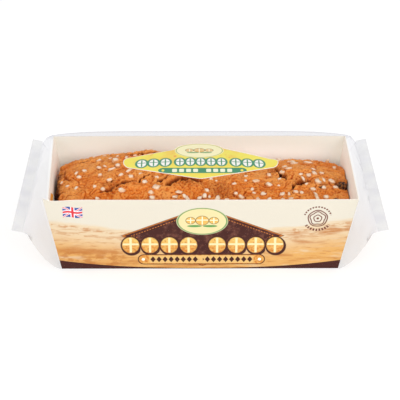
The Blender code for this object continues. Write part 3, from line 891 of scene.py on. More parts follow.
def make_crust(settings):
    """A grid bent into the crust, its edge extruded down to a flat base, then roughened inside the tray."""
    crust = add_grid("crust_loaf", settings.cells_long, settings.cells_wide)
    shape_points(crust, lambda p: loaf_top(crowded(p.x, 0.20), crowded(p.y, 0.30)))
    base_z = CARD + GAP
    base_half = BASE_LENGTH / 2 - CARD - LOAF_BASE_INSET
    base_half_width = BASE_WIDTH / 2 - CARD - LOAF_BASE_INSET
    top_half, middle = (LOAF_RIGHT - LOAF_LEFT) / 2, (LOAF_RIGHT + LOAF_LEFT) / 2
    shrink = (base_half / top_half, base_half_width / LOAF_HALF_WIDTH)
    pivot = (-middle * shrink[0] / (1 - shrink[0]), 0.0, base_z)
    edit(crust, "EDGE")
    bpy.ops.mesh.select_non_manifold()
    for ring in range(SIDE_RINGS):
        before, after = ring / SIDE_RINGS, (ring + 1) / SIDE_RINGS
        ratio = [lerp(1, share, after) / lerp(1, share, before) for share in shrink]
        bpy.ops.mesh.extrude_region_move()
        bpy.ops.transform.resize(value=(*ratio, (1 - after) / (1 - before)), center_override=pivot)
    bpy.ops.mesh.edge_face_add()
    bpy.ops.object.mode_set(mode="OBJECT")
    face_outwards(crust)

    places, normals = places_of(crust), normals_of(crust)
    moves, deep = crack_shape(places)
    high = np.clip((places[:, 2] - base_z) / 0.02, 0, 1)
    torn, rises = np.zeros(len(places)), np.zeros(len(places))
    moved = places + moves * high[:, None]
    for index, (place, normal) in enumerate(zip(places, normals)):
        torn[index] = high[index] * max(0.7 * deep[index], crumbled_at(place[0], place[1]))
        detail = crust_detail(Vector(place), torn[index], settings.lumps, settings.crumb)
        moved[index] += normal * detail * high[index]
        rises[index] = 0.5 + detail / (settings.lumps * 3)
    side = wall_at(moved[:, 2], BASE_WIDTH, RIM_WIDTH) - CARD - 2 * GAP
    end = wall_at(moved[:, 2], BASE_LENGTH, RIM_LENGTH) - CARD - 2 * GAP
    turned = EAR_WIDTH * (0.5 - moved[:, 1] / RIM_WIDTH) * moved[:, 2] / TRAY_HEIGHT
    moved[:, 0] = np.clip(moved[:, 0], turned - end, end)
    moved[:, 1] = np.clip(moved[:, 1], -side, side)
    move_points(crust, moved)
    mark(crust, "torn", torn)
    mark(crust, "deep", deep * high)
    mark(crust, "rise", rises)
    mark(crust, "hollow", hollows_of(crust))
    smooth(crust)
    return crust


def crust_finish(settings):
    """Baked dough: broad warm patches, toasted freckles and torn crumb, with painted shade in the low parts
    and creases and darkest at the bottom of the cracks, painted highlights on the high parts and ridges, and
    a painted shadow in the gaps at the loaf's ends.
    """
    finish = Finish("baked crust", 0.62, Specular_IOR_Level=0.10)
    torn, deep, rise, hollow = map(finish.attribute, ("torn", "deep", "rise", "hollow"))
    x, y, z = finish.parts(finish.place)
    patch = finish.mottle(130, 0.50, 0.68, 6)
    baked = finish.mix(finish.mottle(45, 0.36, 0.64), settings.brown, settings.golden)
    baked = finish.layers(
        baked,
        (finish.times(patch, 0.40), settings.toasted),
        # Painted shade on the low parts of the crust's relief and painted highlight on its high parts.
        (finish.times(finish.ramp(rise, 0.50, 0.20), 0.45), settings.toasted),
        (finish.times(finish.ramp(rise, 0.50, 0.85), 0.50), settings.golden),
        (finish.times(finish.mottle(560, 0.54, 0.68, 4), 0.55), settings.toasted),
        (finish.times(finish.mottle(760, 0.58, 0.70, 3), 0.50), settings.golden),
        # Painted highlight on the ridges and painted shade in the creases, darkest in the deepest.
        (finish.times(finish.ramp(hollow, -0.00002, -0.00020), 0.60), settings.golden),
        (finish.times(finish.ramp(hollow, 0.00003, 0.00024), 0.80), settings.toasted),
        (finish.times(finish.ramp(hollow, 0.00016, 0.00044), 0.60), settings.torn),
        (finish.times(torn, 0.60), settings.torn),
        # Crumb inside the cracks darkened with painted shade, and near black painted shade at their bottom.
        (finish.times(finish.ramp(deep, 0.10, 0.55), 0.80), settings.scorched),
        (finish.ramp(deep, 0.38, 0.85), settings.deep_shade),
    )
    # Painted shadow in the gaps between the loaf's ends and the tray's end walls, low down and towards the
    # front.
    past = finish.highest(finish.less(LOAF_LEFT + 0.0043, x), finish.less(x, LOAF_RIGHT - 0.0016))
    in_shade = finish.times(finish.ramp(z, 0.059, 0.052), finish.ramp(y, 0.016, 0.006))
    finish.colour(finish.mix(finish.times(finish.ramp(past, 0.0, 0.0026), in_shade), baked, settings.deep_shade))
    finish.feed(finish.shader.inputs["Roughness"], finish.add(0.48, finish.times(patch, 0.25)))
    grain = finish.node("ShaderNodeTexNoise", {"Vector": finish.place, "Scale": 1500.0, "Detail": 4.0})
    finish.bump(grain.outputs["Fac"], 0.0008)
    return finish.material


# ---------------------------------------------------------------- sugar nibs


def clear_of_cracks(x, y):
    """Whether a nib at (x, y) stays off every crack."""
    point = Vector((x, y))
    for line, half_width, _ in CRACKS:
        for first, second in zip(line, line[1:]):
            start, run = Vector(first), Vector(second) - Vector(first)
            along = max(0.0, min(1.0, (point - start).dot(run) / run.length_squared))
            if (point - start - run * along).length < NIB_TO_CRACK + half_width:
                return False
    return True


def nib_places(rng):
    """Seeded places over the crust, each at least a nib's spacing from the others."""
    places = []
    while len(places) < NIBS_IN_SOLID:
        x, y = loaf_plan(rng.uniform(-0.95, 0.95), rng.uniform(-0.90, 0.90))
        apart = all(math.hypot(x - a, y - b) > NIB_SPACING for a, b in places)
        off_raisins = all(math.hypot(x - a, y - b) > size for a, b, size in RAISINS)
        if apart and off_raisins and clear_of_cracks(x, y):
            places.append((x, y))
    return places


def beside(rng, place):
    """A place a few millimetres from a nib, on the crust."""
    angle, away = rng.uniform(0, math.tau), rng.uniform(0.0026, 0.0052)
    x, y = place[0] + away * math.cos(angle), place[1] + away * math.sin(angle)
    return max(LOAF_LEFT + 0.006, min(LOAF_RIGHT - 0.006, x)), max(-0.047, min(0.047, y))


def out_of_sight(x, y):
    """Whether the front doesn't show the crust at (x, y), which lies under the label or beyond the crest."""
    share = abs(x - LABEL_CENTRE_X) / LABEL_HALF_LENGTH
    return y > (lerp(-0.0175, 0.0175, share) if share < 1 else 0.032)


def wanted_nibs(settings, rng):
    """Each nib's place, length, width, thickness and turn: those that the front shows, then seeded ones."""
    millimetre = 0.001
    wanted = []
    for x, y, long, wide, turn in FRONT_NIBS:
        share = lerp(0.92, 1.35, min(1.0, max(0.0, y / 30 + 0.6))) * (0.86 if x < -72 else 1.0)
        long, wide = long * millimetre * share, wide * millimetre * share
        wanted.append((x * millimetre, y * millimetre, long, wide, 0.35 * wide + 0.0010, math.radians(turn)))
    large = nib_places(rng)
    middle = lerp(settings.largest, settings.smallest, 0.6)
    count = len(large)
    seeded = [(place, lerp(settings.largest, middle, index / count)) for index, place in enumerate(large)]
    for index in range(settings.extra):
        size = lerp(middle, settings.smallest, index / settings.extra)
        seeded.append((beside(rng, rng.choice(large)), size))
    for (x, y), size in seeded:
        long = size * rng.uniform(0.80, 1.25)
        wide = long * rng.uniform(0.45, 0.85)
        thick = long * rng.uniform(0.45, 0.70)
        turn = rng.gauss(0.0, 0.9)
        if out_of_sight(x, y):
            wanted.append((x, y, long, wide, thick, turn))
    return wanted


def nib_form(ball, rng, x, y, long, wide, thick, spin):
    """The points of one nib: a blunt broken lump, stretched, turned and partly sunk in the crust."""
    normal = crust_normal(x, y)
    centre = Vector((x, y, crust_height(x, y))) + normal * long * NIB_LIFT
    turn = normal.to_track_quat("Z", "Y")
    start = Vector([rng.uniform(-50, 50) for _ in range(3)])
    cos, sin = math.cos(spin), math.sin(spin)
    points = []
    for way in ball:
        boxy = sum(abs(value) ** 3.5 for value in way) ** (-1 / 3.5)
        dent = 1 + 0.46 * noise.noise(way * 1.4 + start) + 0.30 * noise.noise(way * 3.2 + start)
        along, across, up = way * (boxy * dent / 2) * Vector((long, wide, thick))
        spun = Vector((along * cos - across * sin, along * sin + across * cos, up))
        points.append(centre + turn @ spun)
    return points


def make_nibs(settings):
    """Copies of one pebble, each uneven in its own way, joined in one mesh."""
    deselect_all()
    bpy.ops.mesh.primitive_ico_sphere_add(subdivisions=2, radius=1.0)
    nibs = added("sugar_nibs")
    rng = random.Random(SEED)
    wanted = wanted_nibs(settings, rng)
    ball = [Vector(place).normalized() for place in places_of(nibs)]
    forms = [nib_form(ball, rng, *nib) for nib in wanted]
    pebble = bmesh.new()
    pebble.from_mesh(nibs.data)
    many = bmesh.new()
    for form in forms:
        for vert, point in zip(pebble.verts, form):
            vert.co = point
        copy = bpy.data.meshes.new("nib")
        pebble.to_mesh(copy)
        many.from_mesh(copy)
        bpy.data.meshes.remove(copy)
    many.to_mesh(nibs.data)
    pebble.free()
    many.free()
    mark(nibs, "top", [way.z for _ in forms for way in ball])
    smooth(nibs)
    return nibs


def nib_finish(settings):
    """Sugar: white on top, syrup-soaked low down, with a crystal grain."""
    finish = Finish("nib sugar", 0.42, Specular_IOR_Level=0.5)
    patchy = finish.times(finish.mottle(260, 0.42, 0.66, 4), 0.6)
    soaked = finish.highest(patchy, finish.ramp(finish.attribute("top"), 0.90, 0.20))
    finish.colour(finish.mix(soaked, settings.sugar, settings.shade))
    grain = finish.node("ShaderNodeTexVoronoi", {"Vector": finish.place, "Scale": 1400.0}).outputs["Distance"]
    finish.bump(grain, 0.00025)
    return finish.material


# ---------------------------------------------------------------- raisins


def make_raisin(settings, index):
    x, y, length = RAISINS[index]
    normal = crust_normal(x, y)
    centre = Vector((x, y, crust_height(x, y))) - normal * RAISIN_SINK
    radii = Vector((length * 0.5, length * 0.36, length * 0.30))
    turn = normal.to_track_quat("Z", "Y")
    deselect_all()
    bpy.ops.mesh.primitive_ico_sphere_add(subdivisions=5, radius=1.0)
    raisin = added(f"raisin_skin_{index + 1}")

    def wrinkled(place):
        start = Vector((3.0 + index, 0, 0))
        dent = 1 + settings.wrinkle * noise.noise(place * 1.9 + start)
        fold = abs(noise.noise(place * Vector((1.6, 3.4, 3.4)) + start * 2))
        fine = abs(noise.noise(place * Vector((3.5, 8, 8)) + start * 3))
        creased = settings.wrinkle * 0.9 * (min(fold, 0.3) - 0.15)
        dent += creased + settings.wrinkle * 0.35 * (min(fine, 0.3) - 0.15)
        return centre + turn @ (place * dent * radii)

    shape_points(raisin, wrinkled)
    smooth(raisin)
    return raisin


def raisin_finish(settings):
    finish = Finish("raisin skin", 0.52, Specular_IOR_Level=0.22)
    finish.colour(finish.mix(finish.mottle(520, 0.44, 0.62), settings.skin, settings.bloom))
    finish.bump(finish.mottle(1300, 0.2, 0.8, 5), 0.0003)
    return finish.material


# ---------------------------------------------------------------- tray


def rim_dip(x):
    """How far the front panel's rim lies under the tray's height: most behind the ear, which stands up."""
    dip = RIM_DIP + EAR_DIP * math.exp(-(((x - EAR_DIP_AT) / EAR_DIP_SPREAD) ** 2))
    return dip - EAR_RISE * max(0.0, EAR_RISE_FROM - x) / EAR_RISE_RUN


def panel(name, corners, inwards, settings, bow, dip):
    """A card panel between four corners of its outer face, its rim bowed outwards and dipped."""
    sheet = add_grid(name, 48, 12)
    low_left, low_right, high_right, high_left = (Vector(corner) for corner in corners)
    inwards = Vector(inwards)

    def bent(place):
        across, up = (place.x + 1) / 2, (place.y + 1) / 2
        flat = low_left.lerp(low_right, across).lerp(high_left.lerp(high_right, across), up)
        if dip:
            flat.z -= dip(flat.x) * up**3
        return flat - inwards * bow * math.sin(math.pi * across) ** 0.7 * up**2

    shape_points(sheet, bent)
    if sheet.data.polygons[0].normal.dot(inwards) > 0:
        turn_over(sheet)
    slots = {"material_offset": 1, "material_offset_rim": 2}
    apply_modifier(sheet, "SOLIDIFY", thickness=settings.card, offset=-1.0, **slots)
    return sheet


def make_tray(settings, materials):
    """Five card panels. The front one stands past the left end wall, as a small ear."""
    rim = RIM_LENGTH / 2
    near_left, near_right, far_right, far_left = (
        (side * BASE_LENGTH / 2, depth * BASE_WIDTH / 2, 0)
        for side, depth in ((-1, -1), (1, -1), (1, 1), (-1, 1))
    )
    top_near_left, top_near_right, top_far_right, top_far_left = (
        (x, depth * RIM_WIDTH / 2, TRAY_HEIGHT)
        for x, depth in ((EAR_WIDTH - rim, -1), (rim, -1), (rim, 1), (-rim, 1))
    )
    ear = (EAR_TIP, -RIM_WIDTH / 2, TRAY_HEIGHT)
    sheets = (
        ("front", (near_left, near_right, top_near_right, ear), (0, 1, 0), settings.bow, rim_dip),
        ("back", (far_right, far_left, top_far_left, top_far_right), (0, -1, 0), settings.bow, None),
        ("left", (far_left, near_left, top_near_left, top_far_left), (1, 0, 0), 0.0, None),
        ("right", (near_right, far_right, top_far_right, top_near_right), (-1, 0, 0), 0.0, None),
        ("base", (far_left, far_right, near_right, near_left), (0, 0, 1), 0.0, None),
    )
    made = []
    for name, corners, inwards, bow, dip in sheets:
        sheet = panel(f"tray_{name}", corners, inwards, settings, bow, dip)
        for material in materials:
            sheet.data.materials.append(material)
        paint_sides(sheet)
        made.append(sheet)
    tray = join(made, "card_tray")
    smooth(tray, 30)
    return tray


def paint_sides(sheet):
    """Puts the print on the outer face of a panel, plain card on its inner face and the cut edge between."""
    outer = sheet.data.polygons[0].normal.copy()
    for face in sheet.data.polygons:
        facing = face.normal.dot(outer)
        face.material_index = 0 if facing > 0.5 else 1 if facing < -0.5 else 2


def plain_card(name, colour, roughness, flap=None):
    """Unprinted card. With a flap colour, the printed corner is folded in and painted shade and warm
    reflected light are laid in the depth.
    """
    finish = Finish(name, roughness, Specular_IOR_Level=0.3)
    warm = tuple(value * share for value, share in zip(colour, (0.96, 0.93, 0.88)))
    card = finish.mix(finish.mottle(30, 0.3, 0.7), colour, warm)
    if flap:
        card = tinted_inside(finish, card, flap)
    finish.colour(card)
    finish.bump(finish.mottle(1800, 0.3, 0.7, 2), 0.00004)
    return finish.material


def tinted_inside(finish, card, flap):
    """The tray's inside, with painted light: the long walls darker near their top, a warm painted shade low
    down on the end walls where the loaf's colour shines on them, most at the left, and a dark painted shadow
    deeper down at the left end.
    """
    x, y, z = finish.parts(finish.place)
    down = finish.less(TRAY_HEIGHT, z)
    facing = finish.parts(finish.node("ShaderNodeTexCoord").outputs["Normal"])[0]
    end_wall = finish.is_above(finish.absolute(facing), 0.7)
    # Painted shade: the long walls are darker near their top.
    long_wall = finish.mix(finish.ramp(down, 0.016, 0.004), card, srgb(231, 230, 219))
    left = finish.times(finish.ramp(y, 0.020, -0.010), finish.is_below(x, 0.0))
    # Painted warm shade low on the end walls, the loaf's colour reflected on them, most at the left.
    warm_shade = finish.times(finish.ramp(down, 0.007, 0.016), finish.add(0.16, finish.times(left, 0.5)))
    ends = finish.mix(warm_shade, srgb(255, 250, 240), srgb(200, 134, 86))
    # A dark painted shadow deeper down at the left end, beside the loaf.
    ends = finish.mix(finish.times(finish.ramp(down, 0.015, 0.023), left), ends, srgb(112, 58, 28))
    card = finish.mix(end_wall, long_wall, ends)
    fold = finish.ramp(finish.less(y, finish.times(down, FLAP_SLOPE)), FLAP_EDGE_Y, FLAP_EDGE_Y - 0.0006)
    folded = finish.times(
        fold,
        finish.ramp(down, FLAP_TOP, FLAP_TOP + 0.0012),
        finish.ramp(down, FLAP_FOOT, FLAP_FOOT - 0.0010),
        finish.is_below(x, FLAP_RIGHT),
    )
    paper = finish.ramp(down, FLAP_PAPER_FROM, FLAP_PAPER_FROM + 0.0010)
    return finish.mix(folded, card, finish.mix(paper, flap, srgb(255, 240, 214)))


def field_edge(finish, x, low, rise, width, power):
    """The height of a printed field's edge: low in the middle of the panel and higher at its ends."""
    share = finish.math("POWER", finish.divide(finish.absolute(x), width), power)
    return finish.add(low, finish.times(share, rise))


def crossed_bun(finish, base, place, centre, half, tints, outline, band):
    """Prints a round bun with a cross over a colour, its tints being for its outline, bun and cross."""
    line, bun, cross = tints
    rim = finish.oval(place, centre, [size + outline for size in half], 0.06)
    body = finish.oval(place, centre, half, 0.06)
    upright = finish.bar(place, centre, (band, half[1]))
    level = finish.bar(place, (centre[0], centre[1] + half[1] * 0.12), (half[0], band))
    within = finish.oval(place, centre, [size * 0.93 for size in half], 0.06)
    arms = finish.times(finish.highest(upright, level), within)
    return finish.layers(base, (rim, line), (body, bun), (arms, cross))


def repeated(finish, place, start, pitch, count):
    """Places folded so that a motif centred on x = 0 shows count times, this pitch apart, from start on."""
    x, y, _ = finish.parts(place)
    shifted = finish.add(finish.divide(finish.less(x, start), pitch), 0.5)
    number = finish.lowest(finish.highest(finish.math("FLOOR", shifted), 0.0), float(count - 1))
    return finish.vector(finish.less(x, finish.add(start, finish.times(number, pitch))), y)


def streaks(finish, place, scale, turn, detail):
    """Noise drawn out along one way of a print."""
    values = {"Vector": place, "Scale": scale, "Rotation": (0, 0, turn)}
    laid = finish.node("ShaderNodeMapping", values).outputs[0]
    values = {"Vector": laid, "Scale": 1.0, "Detail": detail, "Roughness": 0.6}
    return finish.node("ShaderNodeTexNoise", values).outputs["Fac"]


def print_finish(settings):
    """The tray's printed outside: cream over a streaky straw field, a dark band, and a badge in front."""
    finish = Finish("printed card", 0.45, Specular_IOR_Level=0.20)
    x, y, z = finish.parts(finish.place)
    flat = finish.vector(x, z)
    front = finish.is_below(y, -BASE_WIDTH / 4)
    colour = field_print(finish, x, z, finish.vector(finish.add(x, y), z), settings)
    band = finish.ramp(finish.less(field_edge(finish, x, 0.0007, 0.0076, 0.109, 2.5), z), -0.0001, 0.0001)
    with_band = finish.mix(band, colour, settings.cocoa)
    with_badge = finish.mix(band, badge_print(finish, colour, flat, settings), settings.cocoa)
    finish.colour(finish.mix(front, with_band, front_print(finish, with_badge, flat, settings)))
    finish.bump(finish.mottle(1600, 0.3, 0.7, 2), 0.00003)
    return finish.material


def field_print(finish, x, z, laid, settings):
    """Cream that fades into a straw field with darker and lighter streaks and a few dark clumps."""
    long = streaks(finish, laid, (16.0, 110.0, 1.0), 0.06, 5.0)
    fine = streaks(finish, laid, (60.0, 420.0, 1.0), 0.04, 3.0)
    clumps = streaks(finish, laid, (110.0, 210.0, 1.0), 0.0, 5.0)
    edge = field_edge(finish, x, 0.0335, 0.0130, 0.115, 1.4)
    edge = finish.add(edge, finish.times(finish.ramp(x, 0.050, 0.110), 0.0020))
    below_edge = finish.less(edge, finish.add(z, finish.times(finish.less(long, 0.5), 0.016)))
    colour = finish.mix(finish.ramp(below_edge, -0.0016, 0.0022), settings.cream, settings.straw)
    colour = finish.mix(finish.ramp(below_edge, 0.004, 0.030), colour, settings.gold)
    inside = finish.ramp(finish.less(edge, z), 0.0, 0.006)
    for cloud, low, high, share, tint in (
        (long, 0.50, 0.64, 0.75, settings.umber),
        (fine, 0.52, 0.66, 0.60, settings.umber),
        (long, 0.47, 0.34, 0.70, settings.straw),
        (fine, 0.42, 0.30, 0.45, settings.straw),
    ):
        streak = finish.times(finish.ramp(cloud, low, high), finish.times(inside, share))
        colour = finish.mix(streak, colour, tint)
    thick = finish.ramp(clumps, 0.46, 0.60)
    hedges = [
        finish.times(finish.near(below_edge, depth, 0.0024, 0.0006), thick, share)
        for depth, share in ((0.0045, 0.65), (0.0105, 0.45))
    ]
    grove = finish.near(below_edge, 0.0098, 0.0048, 0.0016)
    grove = finish.times(grove, finish.ramp(x, 0.062, 0.092), finish.ramp(fine, 0.34, 0.56), 0.80)
    low_left = finish.times(finish.ramp(z, 0.026, 0.012), finish.ramp(x, -0.040, -0.065))
    low_left = finish.times(low_left, finish.add(0.16, finish.times(thick, 0.64)))
    return finish.layers(colour, *((clump, settings.umber) for clump in (*hedges, grove, low_left)))


def badge_print(finish, colour, flat, settings):
    """A dark diamond with a thin gold edge and a stitched line inside it."""
    x, z, _ = finish.parts(flat)
    middle = BADGE_CENTRE[1]
    raised = finish.times(finish.highest(finish.less(z, middle), 0.0), BADGE_STEEPER)
    raised = finish.add(raised, finish.lowest(z, middle))
    share = finish.diamond(finish.vector(x, raised), BADGE_CENTRE, BADGE_HALF)
    share = finish.add(share, finish.ramp(z, BADGE_CUT_FROM, BADGE_CUT_TO))
    worn = finish.mix(finish.mottle(260, 0.45, 0.70, 5), settings.cocoa, srgb(104, 60, 48))
    stitches = finish.is_above(finish.math("FRACT", finish.times(x, STITCHES_PER_METRE)), 0.46)
    line = finish.times(finish.near(share, 0.900, 0.016, 0.008), stitches, finish.is_above(z, middle - 0.002))
    return finish.layers(
        colour,
        (finish.ramp(share, 1.050, 1.035), settings.cocoa),
        (finish.ramp(share, 1.034, 1.020), settings.amber),
        (finish.ramp(share, 1.005, 0.992), worn),
        (line, settings.amber),
    )


def front_print(finish, colour, flat, settings):
    """The front's motifs: rows of crossed buns, a strip, an oval, a flag and a round stamp."""
    z = finish.parts(flat)[1]
    glaze = finish.layers(
        settings.wheat,
        (finish.ramp(z, 0.034, 0.016), settings.amber),
        (finish.times(finish.mottle(420, 0.38, 0.62, 5, flat), 0.55), settings.wheat),
        (finish.times(finish.mottle(500, 0.56, 0.66, 4, flat), 0.7), settings.umber),
    )
    tints = (settings.cocoa, glaze, srgb(240, 222, 172))
    for start in BUN_ROWS:
        local = repeated(finish, flat, start, BUN_PITCH, BUNS_IN_ROW)
        shadow = finish.oval(local, BUN_SHADOW_CENTRE, BUN_SHADOW_HALF, 0.05)
        colour = finish.mix(shadow, colour, settings.cocoa)
        colour = crossed_bun(finish, colour, local, BUN_CENTRE, BUN_HALF, tints, 0.0012, 0.0009)

    level = STRIP_CENTRE[1]
    letters = repeated(finish, flat, -0.0365, 0.0047, 17)
    gap = finish.bar(flat, (0.0008, level), (0.0014, 0.004))
    lozenges = finish.less(finish.diamond_mask(letters, (0, level), (0.0021, 0.0029)), gap)
    ends = repeated(finish, flat, -0.0440, 0.0902, 2)
    around = [size + STRIP_OUTLINE for size in STRIP_HALF]
    share = finish.oval_share(flat, FRONT_OVAL_CENTRE, FRONT_OVAL_HALF)
    colour = finish.layers(
        colour,
        (finish.bar(flat, STRIP_CENTRE, around, 0.0049), settings.cocoa),
        (finish.bar(flat, STRIP_CENTRE, STRIP_HALF, 0.0043), glaze),
        (finish.bar(flat, STRIP_CENTRE, (0.0405, 0.0037), 0.0010), srgb(222, 180, 112)),
        (finish.highest(lozenges, 0.0), settings.cocoa),
        (finish.oval(ends, (0, level), (0.0013, 0.0013), 0.1), srgb(255, 246, 226)),
        (finish.ramp(share, 1.03, 1.01), srgb(190, 190, 150)),
        (finish.ramp(share, 0.99, 0.97), srgb(226, 213, 160)),
        (finish.near(share, 0.965, 0.032, 0.020), srgb(116, 152, 92)),
    )
    colour = bun_trio(finish, colour, flat, FRONT_OVAL_CENTRE, 0.0048)
    return stamp_print(finish, flag_print(finish, colour, flat), flat)


def bun_trio(finish, colour, flat, centre, size):
    """Three small crossed buns side by side over two green leaves."""
    tints = (srgb(84, 74, 58), srgb(226, 178, 92), srgb(253, 244, 212))
    for side in (-1, 1):
        leaf = (centre[0] + side * size * 1.25, centre[1] - size * 0.95)
        leaf_mask = finish.oval(flat, leaf, (size * 1.15, size * 0.22), 0.1)
        colour = finish.mix(leaf_mask, colour, srgb(98, 152, 84))
    for offset, share in ((-1.85, 0.72), (1.85, 0.72), (0.0, 1.0)):
        place = (centre[0] + offset * size, centre[1] + size * 0.15)
        half = (size * share, size * share * 0.86)
        colour = crossed_bun(finish, colour, flat, place, half, tints, 0.0004, 0.0004)
    return colour


def flag_print(finish, colour, flat):
    """A small waving flag: blue with white and red crossed bands."""
    (centre_x, centre_z), (half_x, half_z) = FLAG_CENTRE, FLAG_HALF
    x, z, _ = finish.parts(flat)
    beside_centre = finish.less(x, centre_x)
    waving = finish.add(z, finish.times(finish.sine(finish.times(beside_centre, 430.0)), FLAG_WAVE))
    waved = finish.vector(x, waving)
    across = finish.times(finish.absolute(beside_centre), half_z / half_x)
    up = finish.absolute(finish.less(waving, centre_z))
    slant = finish.absolute(finish.less(across, up))
    white, red = srgb(246, 240, 246), srgb(214, 58, 66)
    flag = finish.layers(
        srgb(58, 80, 150),
        (finish.ramp(slant, 0.0010, 0.0008), white),
        (finish.ramp(slant, 0.0005, 0.0003), red),
    )
    for width, tint in ((0.0016, white), (0.0009, red)):
        upright = finish.bar(waved, FLAG_CENTRE, (width, half_z))
        level = finish.bar(waved, FLAG_CENTRE, (half_x, width))
        flag = finish.mix(finish.highest(upright, level), flag, tint)
    return finish.mix(finish.bar(waved, FLAG_CENTRE, FLAG_HALF, 0.0003), colour, flag)


def stamp_print(finish, colour, flat):
    """A round stamp: a rosette inside a ring, with short dashes in an arc over it and under it."""
    ink = srgb(112, 62, 48)
    share = finish.oval_share(flat, STAMP_CENTRE, STAMP_HALF)
    x, z, _ = finish.parts(flat)
    angle = finish.math("ARCTAN2", finish.less(z, STAMP_CENTRE[1]), finish.less(x, STAMP_CENTRE[0]))
    petals = finish.times(finish.sine(finish.times(angle, 5.0)), 0.06)
    marks = []
    for radius, swing, width in ((0.97, 0.4, 0.085), (0.76, 1.0, 0.080), (0.40, 0.3, 0.075)):
        marks.append(finish.near(share, finish.add(radius, finish.times(petals, swing)), width, width * 0.4))
    marks.append(finish.ramp(share, 0.16, 0.10))
    dashes = finish.is_above(finish.sine(finish.times(angle, 30.0)), -0.35)
    height = finish.sine(angle)
    for radius, width, low, high in ((1.40, 0.10, 0.25, 0.35), (1.42, 0.17, -0.55, -0.62)):
        arc = finish.near(share, radius, width, width * 0.7)
        marks.append(finish.times(arc, dashes, finish.ramp(height, low, high)))
    return finish.layers(colour, *((mark, ink) for mark in marks))


# ---------------------------------------------------------------- film


BASE_STEPS = 6
WALL_STEPS = 20
CORNER_STEPS = 8
TOP_STEPS = 22
FOLD_STEP = 0.4
MID_RINGS = 30
END_RINGS = 26
FIN_THICKNESS = 0.0005


def film_fullness(x):
    """1 over the middle of the tray, falling to 0 at its ends, where the film is drawn tight."""
    return max(0.0, 1 - abs(x / (RIM_LENGTH / 2)) ** 6)


def film_top(x, y):
    """The height of the film's outer face over the tray."""
    full = film_fullness(x)
    edge = TRAY_HEIGHT + FILM_EDGE_RISE + FILM_BULGE * full
    crown = FILM_CROWN_RISE + FILM_CROWN_BULGE * full
    return edge + crown * (1 - (y / (RIM_WIDTH / 2)) ** 2)


def wall_at(z, base, rim):
    """The outer half size of the tray at height z, from its sizes at the base and the rim."""
    return lerp(base, rim, z / TRAY_HEIGHT) / 2


def film_side(x, z):
    """The film's outer half width beside the tray at height z."""
    bulge = FILM_SIDE_BULGE * film_fullness(x) * (z / TRAY_HEIGHT) ** 3
    return wall_at(z, BASE_WIDTH, RIM_WIDTH) + FILM_OFFSET + bulge


def film_half_section(x):
    """Half a cross-section, as (y, z) from under the middle round the side to the top's middle."""
    base = film_side(x, 0.0)
    section = [(base * step / BASE_STEPS, 0.0) for step in range(BASE_STEPS + 1)]
    walls = [step / WALL_STEPS for step in range(1, WALL_STEPS + 1)]
    section += [(film_side(x, TRAY_HEIGHT * step), TRAY_HEIGHT * step) for step in walls]
    side, shelf = section[-1][0], film_top(x, FILM_SHELF)
    for step in (index / CORNER_STEPS for index in range(1, CORNER_STEPS)):
        y = lerp(side, lerp(side, FILM_SHELF, step), step)
        z = lerp(lerp(TRAY_HEIGHT, shelf, step), shelf, step)
        section.append((y, z))
    for step in (1 - index / TOP_STEPS for index in range(TOP_STEPS + 1)):
        section.append((FILM_SHELF * step, film_top(x, FILM_SHELF * step)))
    return section


def fin_places(section):
    """How far from the fin's middle each point of the section ends up, with the side gathered."""
    fold_index = BASE_STEPS + round(WALL_STEPS * FOLD_STEP)
    lengths = [0.0]
    for index, (low, high) in enumerate(zip(section, section[1:])):
        gather = SIDE_GATHER if BASE_STEPS <= index < BASE_STEPS + WALL_STEPS else 1.0
        lengths.append(lengths[-1] + gather * math.dist(low, high))
    fold, total = lengths[fold_index], lengths[-1]
    lower = [length / fold for length in lengths[: fold_index + 1]]
    upper = [(total - length) / (total - fold) for length in lengths[fold_index + 1 :]]
    return [share * FIN_HALF_LENGTH for share in lower + upper], fold_index


def bend_shares(z):
    """Where the run to the fin bends, for a point that leaves the tray at height z."""
    step = z / TRAY_HEIGHT
    if step < 0.5:
        return UNDER_BEND.lerp(SIDE_BEND, step / 0.5)
    return SIDE_BEND.lerp(RIM_BEND, min(1.0, max(0.0, (step - 0.6) / 0.4)))


def all_round(points):
    """A whole ring from half of one, from under the middle up one side and down the other."""
    return points + [Vector((point.x, -point.y, point.z)) for point in reversed(points[:-1])]


def tray_ring(along):
    """The ring this share of the way from the tray's middle to its right end."""
    points = []
    for y, z in film_half_section(along * RIM_LENGTH / 2):
        end = wall_at(min(z, TRAY_HEIGHT), BASE_LENGTH, RIM_LENGTH) + FILM_OFFSET
        points.append(Vector((end * along, y, z)))
    return all_round(points)


def fin_ring(x, rise, thickness):
    """The flat ring of the right fin at x."""
    places, fold = fin_places(film_half_section(RIM_LENGTH / 2))
    ring = all_round([
        Vector((x, place, FIN_HEIGHT + rise + (index - fold > 0) * thickness - thickness / 2))
        for index, place in enumerate(places)
    ])
    for point in ring:
        point.z += FIN_TILT * point.y
    return ring


def film_rings(thickness):
    """The film's rings from the left fin's outer edge to the right one's."""
    start, goal = tray_ring(1.0), fin_ring(FIN_INNER, 0.0, thickness)
    right = []
    for step in range(1, END_RINGS + 1):
        share = step / END_RINGS
        ring = []
        for first, last in zip(start, goal):
            bend = first + (last - first) * bend_shares(first.z)
            ring.append(first.lerp(bend, share).lerp(bend.lerp(last, share), share))
        right.append(ring)
    for step in (0.5, 1.0):
        right.append(fin_ring(lerp(FIN_INNER, FIN_OUTER, step), FIN_OUTER_RISE * step, thickness))
    left = [[Vector((-point.x, point.y, point.z)) for point in ring] for ring in reversed(right)]
    steps = range(-MID_RINGS, MID_RINGS + 1)
    middle = [tray_ring(math.sin(math.pi / 2 * step / MID_RINGS)) for step in steps]
    return left + middle + right


